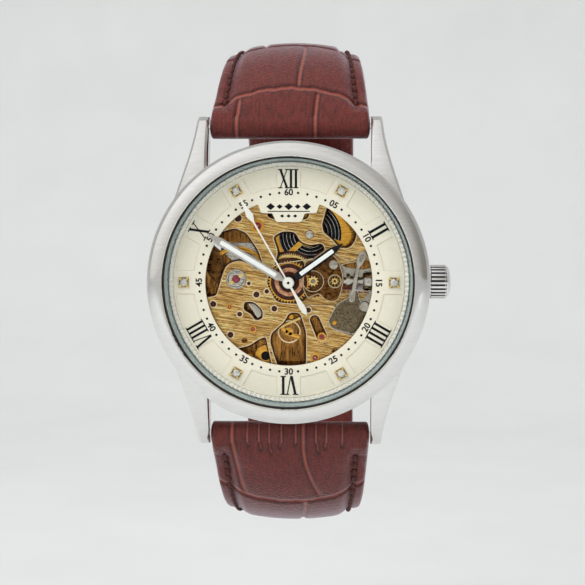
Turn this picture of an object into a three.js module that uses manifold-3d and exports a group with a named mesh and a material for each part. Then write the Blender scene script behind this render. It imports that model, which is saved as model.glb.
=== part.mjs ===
// Skeleton wristwatch with a hand-wound openworked movement, a display back and a buckled leather strap.
// Units are millimetres. World frame: +Z towards 12 o'clock, +X towards the crown, the dial faces -Y,
// and the origin is the centre of the caseback glass's outer face, on the axis of the hands.
// The watch head is modelled lying flat: x to the crown, y to 12 o'clock, z = height above the back.
import * as THREE from "three";
import { mergeVertices } from "three/addons/utils/BufferGeometryUtils.js";
import Module from "manifold-3d";

const wasm = await Module();
wasm.setup();

// ---------- driving dimensions ----------
const TURN = 2 * Math.PI;
const GAP = 0.05; // clearance between pieces that are pressed or screwed together

// case
const BEZEL_R = 19.5;
const CASE_R = 19.2;
const CASE_LOW = 1.7;
const CASE_HIGH = 8.0;
const CASE_BORE_R = 17.35;
const BEZEL_HIGH = 10.15;
const CRYSTAL_R = 16.95;
const GLASS_BACK_R = 14.2;
const BACK_RING_R = 18.3;
const BACK_HIGH = 1.6;
const LUG_GAP = 22.8; // between the inner faces of a pair of lugs
const LUG_TIP = 23.15;
const BAR_Y = 21.8; // the spring bars' distance from the dial's centre
const BAR_Z = 2.4;
const BAR_R = 0.7;

// dial and hands
const DIAL_LOW = 6.6;
const DIAL_HIGH = 7.0;
const DIAL_R = 17.2;
const DIAL_OPENING_R = 11.6;
const HOUR_LENGTH = 9.2;
const MINUTE_LENGTH = 13.1;
const SECONDS_LENGTH = 13.6;
const SECONDS_TAIL = 5.1;
const HOUR_ANGLE = 54.3; // degrees clockwise from 12, at 1:50:55
const MINUTE_ANGLE = 301;
const SECONDS_ANGLE = 330.3;

// movement: levels above the back
const PLATE_LOW = 4.6;
const PLATE_HIGH = 5.9;
const PLATE_R = 14.8;
const POCKET_FLOOR = 4.85;
const BRIDGE_LOW = 1.9;
const BRIDGE_HIGH = 2.3;
const BARREL_BRIDGE_LOW = 2.45;
const BARREL_BRIDGE_HIGH = 2.9;
const BARREL_LOW = 3.0;
const BARREL_HIGH = 4.05;
const BRIDGE_FACE = 1.95; // the lowest ends of the arbors, just inside the bridges
const WINDING_WHEELS = [2.0, 2.35]; // ratchet wheel and crown wheel
const HAIRSPRING_AT = [2.47, 2.63];
const FOURTH_WHEEL = [2.45, 2.6];
const FOURTH_LEAVES = [2.55, 2.89];
const ESCAPE_LEAVES = [2.4, 2.66];
const THIRD_WHEEL = [2.7, 2.85];
const THIRD_LEAVES = [4.12, 4.46];
const PALLET_BRIDGE = [2.8, 3.05];
const BALANCE_RIM = [2.75, 3.15];
const BALANCE_ARMS = [2.85, 3.05];
const CENTRE_LEAVES = [3.0, 4.1];
const ESCAPE_WHEEL = [3.3, 3.45];
const FORK = [3.3, 3.5];
const CENTRE_WHEEL = [4.2, 4.38];
const MINUTE_WHEEL = [5.0, 5.2];
const HOUR_WHEEL = [5.5, 5.7];
const COVERS = [5.95, 6.15]; // the motion works' cover
const JUMPER = [5.95, 6.2];
const HOUR_HAND = [7.6, 7.75];
const MINUTE_HAND = [8.15, 8.3];
const SECONDS_HAND = [8.45, 8.57];

// movement: centres in the plane of the plate
const CENTRE = [0, 0];
const BARREL = [2.87, 6.62];
const THIRD = [2.7, -3.5];
const ESCAPE = [-2.11, -3.84];
const PALLET = [-4.7, -4.0];
const BALANCE = [-7.4, 0.4];
const MINUTE = [3.37, 0.13];
const SETTING = [6.38, 0.12];
const CROWN_WHEEL = [9.35, 2.7];
const LEVER_PIVOT = [10.5, -3.4];
const YOKE_PIVOT = [8.3, -5.0];
const CLICK = [-2.6, 8.6];
const STEM_Z = 3.8; // height of the winding stem's axis

// gearing: teeth
const BARREL_TEETH = 72;
const CENTRE_PINION = 12;
const CENTRE_TEETH = 80;
const THIRD_PINION = 10;
const THIRD_TEETH = 60;
const FOURTH_PINION = 8;
const FOURTH_TEETH = 72;
const ESCAPE_PINION = 6;
const ESCAPE_TEETH = 15;
const CANNON_TEETH = 15;
const MINUTE_TEETH = 30;
const MINUTE_PINION = 7;
const HOUR_TEETH = 42;
const SETTING_TEETH = 10;
const RATCHET_TEETH = 56;
const CROWN_WHEEL_TEETH = 36;
const WINDING_TEETH = 14;

// strap
const STRAP_WIDTH = 22.2;
const STRAP_END_WIDTH = 18;
const LOOP_Y = 16.5; // depth of the loop's widest point behind the caseback
const LOOP_DEPTH = 34; // from there to the back of the loop
const UPPER_LOOP = 34.4;
const LOWER_LOOP = 36.1;

// ---------- finishes ----------
const finish = (color, roughness, metalness) => ({ color, roughness, metalness });
const STEEL = finish(0xd9dadb, 0.12, 1);
const DARK_STEEL = finish(0x4a4945, 0.4, 1);
const GREY_STEEL = finish(0x8d8c88, 0.3, 1);
const BRASS = finish(0xb08d57, 0.35, 1);
const GOLD = finish(0xd9a441, 0.2, 1);
const COPPER = finish(0xc98558, 0.3, 1);
const GLASS = finish(0xe8eef0, 0.02, 0);
const RUBBER = finish(0x18181a, 0.6, 0);
const RUBY = finish(0xc0306a, 0.1, 0);
const CREAM = finish(0xe9e4d7, 0.45, 0);
const SLATE = finish(0x56626c, 0.35, 0.6);
const BLACK = finish(0x111111, 0.3, 0.2);
const WHITE = finish(0xf2efe8, 0.3, 0.2);
const SPRING_STEEL = finish(0x55565a, 0.25, 1);
const LEATHER = finish(0x5f2d28, 0.5, 0);

// ---------- solids ----------
function solid(geometry) {
  const loose = geometry.index ? geometry.toNonIndexed() : geometry;
  const bare = new THREE.BufferGeometry().setAttribute("position", loose.getAttribute("position"));
  const merged = mergeVertices(bare, 1e-4);
  return new wasm.Manifold(
    new wasm.Mesh({
      numProp: 3,
      vertProperties: merged.attributes.position.array,
      triVerts: new Uint32Array(merged.index.array),
    }),
  );
}

function geometryOf(made) {
  const mesh = made.getMesh();
  return new THREE.BufferGeometry()
    .setAttribute("position", new THREE.BufferAttribute(mesh.vertProperties, 3))
    .setIndex(new THREE.BufferAttribute(mesh.triVerts, 1));
}

const join = (first, ...others) => others.reduce((whole, next) => whole.add(next), first);
const cut = (first, ...tools) => tools.reduce((whole, next) => whole.subtract(next), first);

// A flat plate of the shape's outline between two heights.
function plate(shape, low, high, curveSegments = 6) {
  const geometry = new THREE.ExtrudeGeometry(shape, {
    depth: high - low,
    bevelEnabled: false,
    curveSegments,
  });
  return solid(geometry.translate(0, 0, low));
}

function circle(radius, [x, y] = CENTRE) {
  return new THREE.Shape().absarc(x, y, radius, 0, TURN, false);
}

const disc = (radius, low, high, at = CENTRE, sides = 12) => plate(circle(radius, at), low, high, sides);

function ring(outer, inner, low, high, at = CENTRE, sides = 16) {
  const shape = circle(outer, at);
  shape.holes.push(circle(inner, at));
  return plate(shape, low, high, sides);
}

// A body turned about the vertical axis through "at": profile points are [radius, height].
function turned(profile, sides, [x, y] = CENTRE) {
  const points = profile.map(([r, h]) => new THREE.Vector2(r, h));
  const geometry = new THREE.LatheGeometry(points, sides).rotateX(TURN / 4);
  const made = solid(geometry.translate(x, y, 0));
  return made.volume() < 0 ? turned([...profile].reverse(), sides, [x, y]) : made;
}

// A body turned about the winding stem's axis: profile points are [radius, x].
function turnedOnStem(profile, sides) {
  const points = profile.map(([r, x]) => new THREE.Vector2(r, x));
  const geometry = new THREE.LatheGeometry(points, sides).rotateZ(-TURN / 4);
  const made = solid(geometry.translate(0, 0, STEM_Z));
  return made.volume() < 0 ? turnedOnStem([...profile].reverse(), sides) : made;
}

function block([x0, x1], [y0, y1], [z0, z1]) {
  const geometry = new THREE.BoxGeometry(x1 - x0, y1 - y0, z1 - z0);
  return solid(geometry.translate((x0 + x1) / 2, (y0 + y1) / 2, (z0 + z1) / 2));
}

// A closed outline through [x, y, corner radius] points, with each corner rounded off.
function rounded(points) {
  const shape = new THREE.Shape();
  points.forEach(([x, y, radius], i) => {
    const corner = new THREE.Vector2(x, y);
    const towards = (other) => {
      const step = new THREE.Vector2(other[0], other[1]).sub(corner);
      const reach = Math.min(radius, 0.45 * step.length());
      return corner.clone().addScaledVector(step.normalize(), reach);
    };
    const before = towards(points.at(i - 1));
    const after = towards(points[(i + 1) % points.length]);
    if (i === 0) shape.moveTo(before.x, before.y);
    else shape.lineTo(before.x, before.y);
    shape.quadraticCurveTo(x, y, after.x, after.y);
  });
  shape.closePath();
  return shape;
}

// A capsule-shaped outline between two points.
function link([x0, y0], [x1, y1], r0, r1 = r0) {
  const along = Math.atan2(y1 - y0, x1 - x0);
  const shape = new THREE.Shape();
  shape.absarc(x0, y0, r0, along + TURN / 4, along - TURN / 4, false);
  shape.absarc(x1, y1, r1, along - TURN / 4, along + TURN / 4, false);
  shape.closePath();
  return shape;
}

function onCircle(radius, angle, [x, y] = CENTRE) {
  return [x + radius * Math.cos(angle), y + radius * Math.sin(angle)];
}

const distance = (a, b) => Math.hypot(a[0] - b[0], a[1] - b[1]);

const polygon = (points) => new THREE.Shape(points.map(([x, y]) => new THREE.Vector2(x, y)));

// ---------- gears ----------
// Tooth proportions, as shares of the module.
const ADDENDUM = 0.7;
const DEDENDUM = 1.0;

// A wheel's outline: pointed teeth for a wheel, narrow flat-topped leaves for a pinion.
function gearShape(teeth, pitchRadius, at, { leaf = false, phase = 0 } = {}) {
  const module = (2 * pitchRadius) / teeth;
  const tip = pitchRadius + ADDENDUM * module;
  const root = pitchRadius - DEDENDUM * module;
  const step = TURN / teeth;
  const points = [];
  for (let i = 0; i < teeth; i += 1) {
    const middle = phase + i * step;
    if (leaf) {
      points.push(onCircle(root, middle - 0.2 * step, at));
      points.push(onCircle(tip, middle - 0.07 * step, at));
      points.push(onCircle(tip, middle + 0.07 * step, at));
      points.push(onCircle(root, middle + 0.2 * step, at));
    } else {
      points.push(onCircle(tip, middle, at));
      points.push(onCircle(root, middle + step / 2, at));
    }
  }
  return polygon(points);
}

// The windows between a wheel's spokes, each a ring sector with parallel-sided spokes between.
function spokeWindows(count, inner, outer, width, low, high, at, phase = 0) {
  const windows = [];
  for (let i = 0; i < count; i += 1) {
    const from = phase + (i * TURN) / count;
    const to = from + TURN / count;
    const trim = (radius) => Math.asin(width / 2 / radius);
    const shape = new THREE.Shape();
    shape.absarc(...at, outer, from + trim(outer), to - trim(outer), false);
    shape.absarc(...at, inner, to - trim(inner), from + trim(inner), true);
    shape.closePath();
    windows.push(plate(shape, low, high, 3));
  }
  return windows;
}

// The outline of a flat spiral strip, from one radius to another.
function spiral(inner, outer, turns, thickness, at, stepsPerTurn, start = 0) {
  const steps = Math.round(turns * stepsPerTurn);
  const side = (offset) =>
    Array.from({ length: steps + 1 }, (_, i) => {
      const radius = inner + ((outer - inner) * i) / steps + offset;
      return onCircle(radius, start + (i / stepsPerTurn) * TURN, at);
    });
  return polygon([...side(thickness / 2), ...side(-thickness / 2).reverse()]);
}

// ---------- the scene ----------
const group = new THREE.Group();
const head = new THREE.Group(); // the flat-lying watch head, stood up
head.rotation.x = TURN / 4;
group.add(head);

function add(name, made, look, parent = head) {
  const mesh = new THREE.Mesh(geometryOf(made), new THREE.MeshStandardMaterial(look));
  mesh.name = name;
  parent.add(mesh);
}

// ---------- lofted bodies ----------
// A closed body through rings of points, all with the same number of points.
function loft(rings) {
  const size = rings[0].length;
  const positions = rings.flat(2);
  const faces = [];
  for (let ringAt = 0; ringAt < rings.length - 1; ringAt += 1) {
    for (let i = 0; i < size; i += 1) {
      const a = ringAt * size + i;
      const b = ringAt * size + ((i + 1) % size);
      faces.push(a, b, a + size, b, b + size, a + size);
    }
  }
  const last = (rings.length - 1) * size;
  for (let i = 1; i < size - 1; i += 1) {
    faces.push(0, i + 1, i);
    faces.push(last, last + i, last + i + 1);
  }
  const geometry = new THREE.BufferGeometry();
  geometry.setAttribute("position", new THREE.Float32BufferAttribute(positions, 3));
  geometry.setIndex(faces);
  const made = solid(geometry);
  return made.volume() < 0 ? loft([...rings].reverse()) : made;
}

// ---------- case ----------
// One lug: cross-sections at growing distance from the centre, with bevelled outer and inner front edges.
function lug(sideX, sideY) {
  const stations = [
    // y, outer x, front height, rear height
    [9.5, 16.6, 7.7, 2.2],
    [14.0, 15.05, 7.45, 1.9],
    [17.5, 13.95, 6.7, 1.5],
    [20.3, 13.3, 5.5, 1.0],
    [22.2, 13.05, 4.1, 0.7],
    [LUG_TIP, 12.9, 2.9, 0.95],
  ];
  const inner = LUG_GAP / 2;
  const bevel = 0.35;
  return loft(
    stations.map(([y, outer, front, rear]) =>
      [
        [inner, rear],
        [outer - bevel, rear],
        [outer, rear + bevel],
        [outer, front - 1.5 * bevel],
        [outer - bevel, front],
        [inner + bevel, front],
        [inner, front - bevel],
      ].map(([x, z]) => [sideX * x, sideY * y, z]),
    ),
  );
}

function caseMiddle() {
  const band = turned(
    [
      [CASE_BORE_R + 0.3, CASE_LOW],
      [CASE_R - 0.3, CASE_LOW],
      [CASE_R, CASE_LOW + 0.4],
      [CASE_R, CASE_HIGH],
      [CASE_BORE_R, CASE_HIGH],
      [CASE_BORE_R, CASE_LOW + 0.4],
      [CASE_BORE_R + 0.3, CASE_LOW + 0.4],
      [CASE_BORE_R + 0.3, CASE_LOW],
    ],
    48,
  );
  const bore = disc(CASE_R - 0.6, 0, CASE_HIGH + 1, CENTRE, 16);
  const lugs = [1, -1].flatMap((sx) => [1, -1].map((sy) => cut(lug(sx, sy), bore)));
  const barHoles = [1, -1].map((sy) =>
    solid(
      new THREE.CylinderGeometry(0.5, 0.5, LUG_GAP + 1.6, 10)
        .rotateZ(TURN / 4)
        .translate(0, sy * BAR_Y, BAR_Z),
    ),
  );
  const tubeHole = turnedOnStem([[0, 16], [1.1, 16], [1.1, 21], [0, 21]], 16);
  return cut(join(band, ...lugs), ...barHoles, tubeHole);
}
add("case_middle", caseMiddle(), STEEL);

add(
  "bezel",
  turned(
    [
      [17.3, CASE_HIGH + GAP],
      [BEZEL_R, CASE_HIGH + GAP],
      [BEZEL_R, 8.75],
      [19.1, 9.45],
      [18.3, 9.95],
      [17.3, BEZEL_HIGH],
      [17.3, CASE_HIGH + GAP],
    ],
    56,
  ),
  STEEL,
);

add(
  "crystal",
  turned([[0, 9.0], [CRYSTAL_R, 9.0], [CRYSTAL_R, 9.95], [12, 10.18], [0, 10.35]], 40),
  GLASS,
);
add("crystal_gasket", ring(17.23, 17.05, 8.9, 10.0, CENTRE, 20), RUBBER);
add(
  "rehaut_ring",
  turned([[16.75, 7.05], [17.27, 7.05], [17.27, 8.85], [17.12, 8.85], [16.75, 7.05]], 40),
  SLATE,
);
const tubeProfile = [[0.62, 17.45], [1.05, 17.45], [1.05, 20.3], [0.62, 20.3], [0.62, 17.45]];
add("crown_tube", turnedOnStem(tubeProfile, 16), STEEL);

// Caseback: a screwed ring with six key notches round a display glass.
function backRing() {
  const body = turned(
    [
      [GLASS_BACK_R + GAP, 0],
      [BACK_RING_R - 0.5, 0],
      [BACK_RING_R, 0.5],
      [BACK_RING_R, BACK_HIGH],
      [GLASS_BACK_R + GAP, BACK_HIGH],
      [GLASS_BACK_R + GAP, 0],
    ],
    36,
  );
  const notches = Array.from({ length: 6 }, (_, i) => {
    const [x, y] = onCircle(BACK_RING_R - 0.3, (i * TURN) / 6 + TURN / 12);
    return block([x - 0.9, x + 0.9], [y - 0.9, y + 0.9], [-0.5, 0.6]);
  });
  return cut(body, ...notches);
}
add("caseback_ring", backRing(), STEEL);
add("caseback_glass", disc(GLASS_BACK_R, 0, 1.3, CENTRE, 18), GLASS);
add("caseback_gasket", ring(17.6, 17.1, 1.65, 1.95, CENTRE, 12), RUBBER);

function movementHolder() {
  const body = ring(17.0, PLATE_R + 0.1, 2.0, 6.5, CENTRE, 14);
  return cut(body, turnedOnStem([[0, 13], [0.9, 13], [0.9, 18], [0, 18]], 12));
}
add("movement_holder", movementHolder(), BRASS);

// ---------- dial ----------
// A ring with a stepped name tab hanging into its opening at 12 o'clock; the tab is left blank.
function dial() {
  const tab = rounded([
    [-4.3, 11.9, 0.05],
    [-3.85, 9.55, 0.2],
    [-2.2, 9.55, 0.2],
    [-1.75, 8.35, 0.25],
    [1.75, 8.35, 0.25],
    [2.2, 9.55, 0.2],
    [3.85, 9.55, 0.2],
    [4.3, 11.9, 0.05],
  ]);
  const face = ring(DIAL_R, DIAL_OPENING_R, DIAL_LOW, DIAL_HIGH, CENTRE, 18);
  return join(face, plate(tab, DIAL_LOW, DIAL_HIGH, 3));
}
add("dial", dial(), CREAM);

// ---------- main plate and bridges ----------
// The openworked main plate: a round plate less the openings that show the train behind it.
function mainPlate() {
  const low = PLATE_LOW - 1;
  const high = PLATE_HIGH + 1;
  const through = (shape) => plate(shape, low, high, 2);
  const openings = [
    // upper right: the barrel's edge and mainspring
    rounded([
      [5.5, 11.5, 0.3], [4.5, 7.95, 0.4], [4.75, 6.9, 0.4], [6.0, 5.85, 0.5],
      [7.0, 4.7, 0.4], [8.5, 4.65, 0.8], [9.5, 6.1, 1.0], [9.4, 8.6, 0.8], [7.4, 11.2, 0.5],
    ]),
    // upper middle: the barrel's spoke and the top of the centre wheel
    rounded([
      [-1.6, 4.3, 0.5], [-2.3, 6.3, 0.5], [-0.9, 7.2, 0.8], [0.9, 7.0, 0.6], [1.7, 5.6, 0.6],
      [3.0, 5.2, 0.5], [4.6, 5.5, 0.5], [5.2, 4.5, 0.6], [3.6, 3.4, 0.5], [2.2, 1.5, 0.6],
      [0, 0.9, 0.8], [-2.2, 1.5, 0.6],
    ]),
    // beside the name tab, both sides
    rounded([
      [-3.0, 11.6, 0.3], [-3.1, 9.0, 0.6], [-1.2, 8.4, 0.5],
      [2.6, 8.7, 0.5], [3.4, 11.0, 0.5], [0, 12.2, 0.4],
    ]),
    // upper left: the balance
    rounded([
      [-9.6, 7.0, 0.5], [-7.3, 7.7, 0.5], [-5.8, 6.9, 0.5], [-4.3, 4.6, 0.4], [-3.7, 2.3, 0.5],
      [-4.9, 1.7, 0.4], [-5.9, 3.3, 0.6], [-8.6, 3.5, 0.6], [-10.4, 2.3, 0.5], [-11.9, 4.6, 0.5],
    ]),
    // left: down to the balance cock
    rounded([
      [-12.6, 4.0, 0.5], [-10.9, 3.9, 0.5], [-10.3, 1.2, 0.6], [-10.6, -1.6, 0.5], [-12.7, -1.7, 0.4],
    ]),
    // bottom arch: the third wheel
    rounded([
      [0.0, -4.2, 0.6], [1.6, -4.2, 0.7], [2.5, -7.0, 0.8], [2.45, -12.2, 0.3], [-1.5, -12.3, 0.3],
      [-2.7, -8.5, 0.5], [-2.6, -7.2, 0.6], [-0.8, -5.6, 0.5],
    ]),
    // bottom left
    rounded([
      [-6.7, -9.6, 0.5], [-4.3, -8.9, 0.6], [-2.9, -9.3, 0.4], [-2.0, -12.0, 0.3], [-5.4, -12.3, 0.4],
    ]),
    // pallet opening
    rounded([
      [-6.4, -2.7, 0.7], [-4.9, -2.7, 0.5], [-3.6, -3.9, 0.6], [-3.6, -5.2, 0.6], [-4.7, -5.5, 0.5],
      [-5.4, -4.5, 0.3], [-6.4, -4.0, 0.5],
    ]),
    // sliding pinion and winding pinion on the stem
    rounded([
      [7.05, -1.7, 0.2], [11.8, -1.7, 0.2], [12.8, -2.5, 0.3], [14.0, -2.5, 0.2], [14.1, 1.0, 0.4],
      [10.9, 3.2, 0.5], [7.2, 2.4, 0.4],
    ]),
    // slanted slot at lower right
    link([3.6, -5.3], [4.55, -7.5], 0.75, 0.8),
  ];
  // pocket for the motion works and keyless works
  const pocket = rounded([
    [1.6, 3.0, 0.5], [4.7, 3.4, 0.8], [6.2, 4.1, 0.6], [8.0, 2.9, 0.8], [10.6, 3.7, 0.8],
    [12.7, 2.4, 0.6], [14.3, -0.8, 0.4], [14.2, -3.4, 0.6], [12.3, -6.3, 0.8], [9.0, -7.6, 0.8],
    [5.6, -6.4, 0.8], [6.6, -3.3, 0.8], [4.4, -3.3, 0.8], [2.4, -3.2, 0.8], [-1.8, -2.9, 0.9],
    [-3.3, 0, 1.0], [-2.2, 2.4, 0.9],
  ]);
  const hole = (radius, at) => disc(radius, low, high, at, 4);
  return cut(
    disc(PLATE_R, PLATE_LOW, PLATE_HIGH, CENTRE, 20),
    plate(pocket, POCKET_FLOOR, high, 2),
    ...openings.map(through),
    hole(0.95, CENTRE),
    hole(0.35, THIRD),
    hole(0.35, ESCAPE),
    hole(0.3, [-4.64, -1.81]),
    disc(1.45, PLATE_HIGH - 0.6, high, BALANCE, 8),
    hole(0.25, BALANCE),
    hole(0.62, BARREL),
  );
}
add("main_plate", mainPlate(), BRASS);

// Rear bridge over the barrel, held off the plate by the movement holder's ledge.
function barrelBridge() {
  const outline = rounded([
    [-6.4, 6.0, 0.8], [-2.0, 5.0, 1.2], [3.0, 4.4, 1.0], [6.4, 5.2, 1.0], [7.4, 2.0, 0.8],
    [10.6, 1.6, 0.6], [12.9, 2.5, 0.8], [13.2, 5.2, 1.5], [9.5, 10.7, 3.0], [3.0, 14.1, 3.0],
    [-4.0, 13.5, 2.5], [-9.5, 9.9, 1.5],
  ]);
  const pillar = disc(0.8, BARREL_BRIDGE_HIGH - 0.1, PLATE_LOW - GAP, [-6.2, 9.2], 5);
  const bridge = plate(outline, BARREL_BRIDGE_LOW, BARREL_BRIDGE_HIGH, 4);
  return cut(join(bridge, pillar), disc(0.55, 2, 3.5, BARREL, 5));
}
add("barrel_bridge", barrelBridge(), BRASS);

// Rear bridge of the centre, third, fourth and escape wheels.
function trainBridge() {
  const outline = rounded([
    [-1.9, 1.6, 1.0], [1.7, 1.5, 1.0], [4.6, -0.4, 1.0], [7.6, -3.6, 1.0], [12.0, -5.4, 1.5],
    [9.5, -10.8, 3.0], [2.0, -14.2, 3.0], [-4.6, -13.2, 2.0], [-4.0, -6.4, 1.0], [-3.4, -1.6, 1.0],
  ]);
  const windows = [
    rounded([[4.6, -5.4, 0.8], [8.6, -6.6, 1.0], [6.6, -9.9, 1.2], [3.0, -11.2, 0.8]]),
    rounded([[-2.6, -6.2, 0.6], [0.9, -6.2, 0.6], [0.9, -11.6, 0.8], [-2.9, -11.4, 0.8]]),
  ];
  const hole = (radius, at) => disc(radius, 1, 3, at, 4);
  const pillar = disc(0.9, BRIDGE_HIGH - 0.1, PLATE_LOW - GAP, [8.9, -8.0], 5);
  return cut(
    join(plate(outline, BRIDGE_LOW, BRIDGE_HIGH, 4), pillar),
    ...windows.map((shape) => plate(shape, 1, 3, 3)),
    hole(0.3, CENTRE),
    hole(0.3, THIRD),
    hole(0.3, ESCAPE),
  );
}
add("train_bridge", trainBridge(), BRASS);

function balanceCock() {
  const arm = link([-12.4, 4.9], BALANCE, 1.1, 1.4);
  const foot = disc(1.2, BRIDGE_LOW, PLATE_LOW - GAP, [-12.4, 4.9], 6);
  return cut(join(plate(arm, BRIDGE_LOW, BRIDGE_HIGH, 6), foot), disc(0.25, 1, 3, BALANCE, 4));
}
add("balance_cock", balanceCock(), BRASS);

function palletBridge() {
  const bar = link([-8.6, -8.6], PALLET, 0.8, 0.7);
  const foot = disc(0.75, PALLET_BRIDGE[0], PLATE_LOW - GAP, [-8.6, -8.6], 5);
  return cut(join(plate(bar, ...PALLET_BRIDGE, 5), foot), disc(0.22, 2, 4, PALLET, 4));
}
add("pallet_bridge", palletBridge(), BRASS);

// Shock-protected jewel setting of the balance, on the dial side.
const SETTING_LOW = PLATE_HIGH - 0.55;
add("balance_jewel_ring", ring(1.4, 0.62, SETTING_LOW, PLATE_HIGH + 0.1, BALANCE, 7), STEEL);
add("balance_jewel", disc(0.57, SETTING_LOW, PLATE_HIGH - 0.1, BALANCE, 5), RUBY);

// ---------- barrel and winding works ----------
// A pair's pitch radii share the distance between its centres in the ratio of its teeth.
function pitchRadii(teethA, teethB, a, b) {
  const apart = distance(a, b);
  const shareA = teethA / (teethA + teethB);
  return [shareA * apart, (1 - shareA) * apart];
}
const [barrelPitch, centrePinionPitch] = pitchRadii(BARREL_TEETH, CENTRE_PINION, BARREL, CENTRE);
const [centrePitch, thirdPinionPitch] = pitchRadii(CENTRE_TEETH, THIRD_PINION, CENTRE, THIRD);
const [thirdPitch, fourthPinionPitch] = pitchRadii(THIRD_TEETH, FOURTH_PINION, CENTRE, THIRD);
const [fourthPitch, escapePinionPitch] = pitchRadii(FOURTH_TEETH, ESCAPE_PINION, CENTRE, ESCAPE);
const [cannonPitch, minutePitch] = pitchRadii(CANNON_TEETH, MINUTE_TEETH, CENTRE, MINUTE);
const [hourPitch, minutePinionPitch] = pitchRadii(HOUR_TEETH, MINUTE_PINION, CENTRE, MINUTE);
const [ratchetPitch, crownWheelPitch] = pitchRadii(
  RATCHET_TEETH,
  CROWN_WHEEL_TEETH,
  BARREL,
  CROWN_WHEEL,
);
const settingPitch = distance(MINUTE, SETTING) - minutePitch;

// The phase that puts a gap of the follower opposite a tooth of the driver on the line of centres.
function meshingPhase(driver, driverTeeth, driverPhase, follower, followerTeeth) {
  const along = Math.atan2(follower[1] - driver[1], follower[0] - driver[0]);
  const driverOffset = ((along - driverPhase) / TURN) * driverTeeth;
  const fraction = driverOffset - Math.round(driverOffset);
  return along + Math.PI + TURN / followerTeeth / 2 + (fraction * TURN) / followerTeeth;
}

const MAINSPRING_R = 4.4;
const barrelPhase = 0;
function barrelDrum() {
  const teeth = gearShape(BARREL_TEETH, barrelPitch, BARREL, { phase: barrelPhase });
  const toothed = plate(teeth, BARREL_LOW, BARREL_LOW + 0.35);
  const drum = disc(5.75, BARREL_LOW, BARREL_HIGH - 0.2, BARREL, 12);
  const hollow = disc(5.3, BARREL_LOW + 0.2, 5, BARREL, 12);
  return cut(join(toothed, drum), hollow, disc(0.7, 2, 5, BARREL, 5));
}
add("barrel_drum", barrelDrum(), GOLD);

function barrelLid() {
  const lid = ring(5.75, 0.7, BARREL_HIGH - 0.15, BARREL_HIGH, BARREL, 12);
  const windows = spokeWindows(3, 1.7, MAINSPRING_R, 0.75, 3, 5, BARREL, (223 / 360) * TURN);
  return cut(lid, ...windows);
}
add("barrel_lid", barrelLid(), GOLD);
add(
  "mainspring",
  plate(spiral(0.95, MAINSPRING_R + 0.5, 5, 0.14, BARREL, 12), BARREL_LOW + 0.25, BARREL_HIGH - 0.25),
  SPRING_STEEL,
);
function barrelArbor() {
  const profile = [
    [0, BRIDGE_FACE], [0.42, BRIDGE_FACE], [0.42, 2.95], [0.62, 2.95], [0.62, 4.6],
    [0.55, 4.6], [0.55, 6.05], [0.4, 6.2], [0, 6.2],
  ];
  return turned(profile, 16, BARREL);
}
add("barrel_arbor", barrelArbor(), STEEL);

const ratchetPhase = 0.02;
function ratchetWheel() {
  const teeth = gearShape(RATCHET_TEETH, ratchetPitch, BARREL, { phase: ratchetPhase });
  return cut(plate(teeth, ...WINDING_WHEELS), disc(0.47, 1, 3, BARREL, 5));
}
add("ratchet_wheel", ratchetWheel(), STEEL);
function crownWheel() {
  const phase = meshingPhase(
    BARREL, RATCHET_TEETH, ratchetPhase, CROWN_WHEEL, CROWN_WHEEL_TEETH,
  );
  const teeth = gearShape(CROWN_WHEEL_TEETH, crownWheelPitch, CROWN_WHEEL, { phase });
  return join(plate(teeth, ...WINDING_WHEELS), disc(0.6, 1.85, 2.05, CROWN_WHEEL, 5));
}
add("crown_wheel", crownWheel(), STEEL);

// Click: a pawl resting by the ratchet's teeth.
function click() {
  const pawl = plate(link(CLICK, [-2.05, 7.3], 0.55, 0.2), 2.0, 2.3, 4);
  return join(pawl, disc(0.35, 1.85, 2.05, CLICK, 4));
}
add("click", click(), STEEL);

// ---------- going train ----------
// Each arbor carries a wheel and a pinion.
const centrePinionPhase = meshingPhase(
  BARREL, BARREL_TEETH, barrelPhase, CENTRE, CENTRE_PINION,
);
const centrePhase = 0.01;
function centreWheel() {
  const rim = plate(
    gearShape(CENTRE_TEETH, centrePitch, CENTRE, { phase: centrePhase }),
    ...CENTRE_WHEEL,
  );
  const windows = spokeWindows(5, 1.1, 3.35, 0.5, 4, 5, CENTRE, 0.9);
  const pinion = plate(
    gearShape(CENTRE_PINION, centrePinionPitch, CENTRE, { leaf: true, phase: centrePinionPhase }),
    ...CENTRE_LEAVES,
  );
  const arbor = disc(0.5, 2.95, 4.98, CENTRE, 6);
  const bore = disc(0.25, 2, 6, CENTRE, 4);
  return cut(join(cut(rim, ...windows), pinion, arbor), bore);
}
add("centre_wheel", centreWheel(), GOLD);

const thirdPinionPhase = meshingPhase(
  CENTRE, CENTRE_TEETH, centrePhase, THIRD, THIRD_PINION,
);
const thirdPhase = 0.02;
function thirdWheel() {
  const teeth = gearShape(THIRD_TEETH, thirdPitch, THIRD, { phase: thirdPhase });
  const windows = spokeWindows(5, 0.8, 3.2, 0.42, 2, 3.5, THIRD, 0.3);
  const leaves = gearShape(THIRD_PINION, thirdPinionPitch, THIRD, {
    leaf: true,
    phase: thirdPinionPhase,
  });
  return join(
    cut(plate(teeth, ...THIRD_WHEEL), ...windows),
    plate(leaves, ...THIRD_LEAVES),
    disc(0.2, BRIDGE_FACE, 5.2, THIRD, 4),
  );
}
add("third_wheel", thirdWheel(), GOLD);

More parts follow.
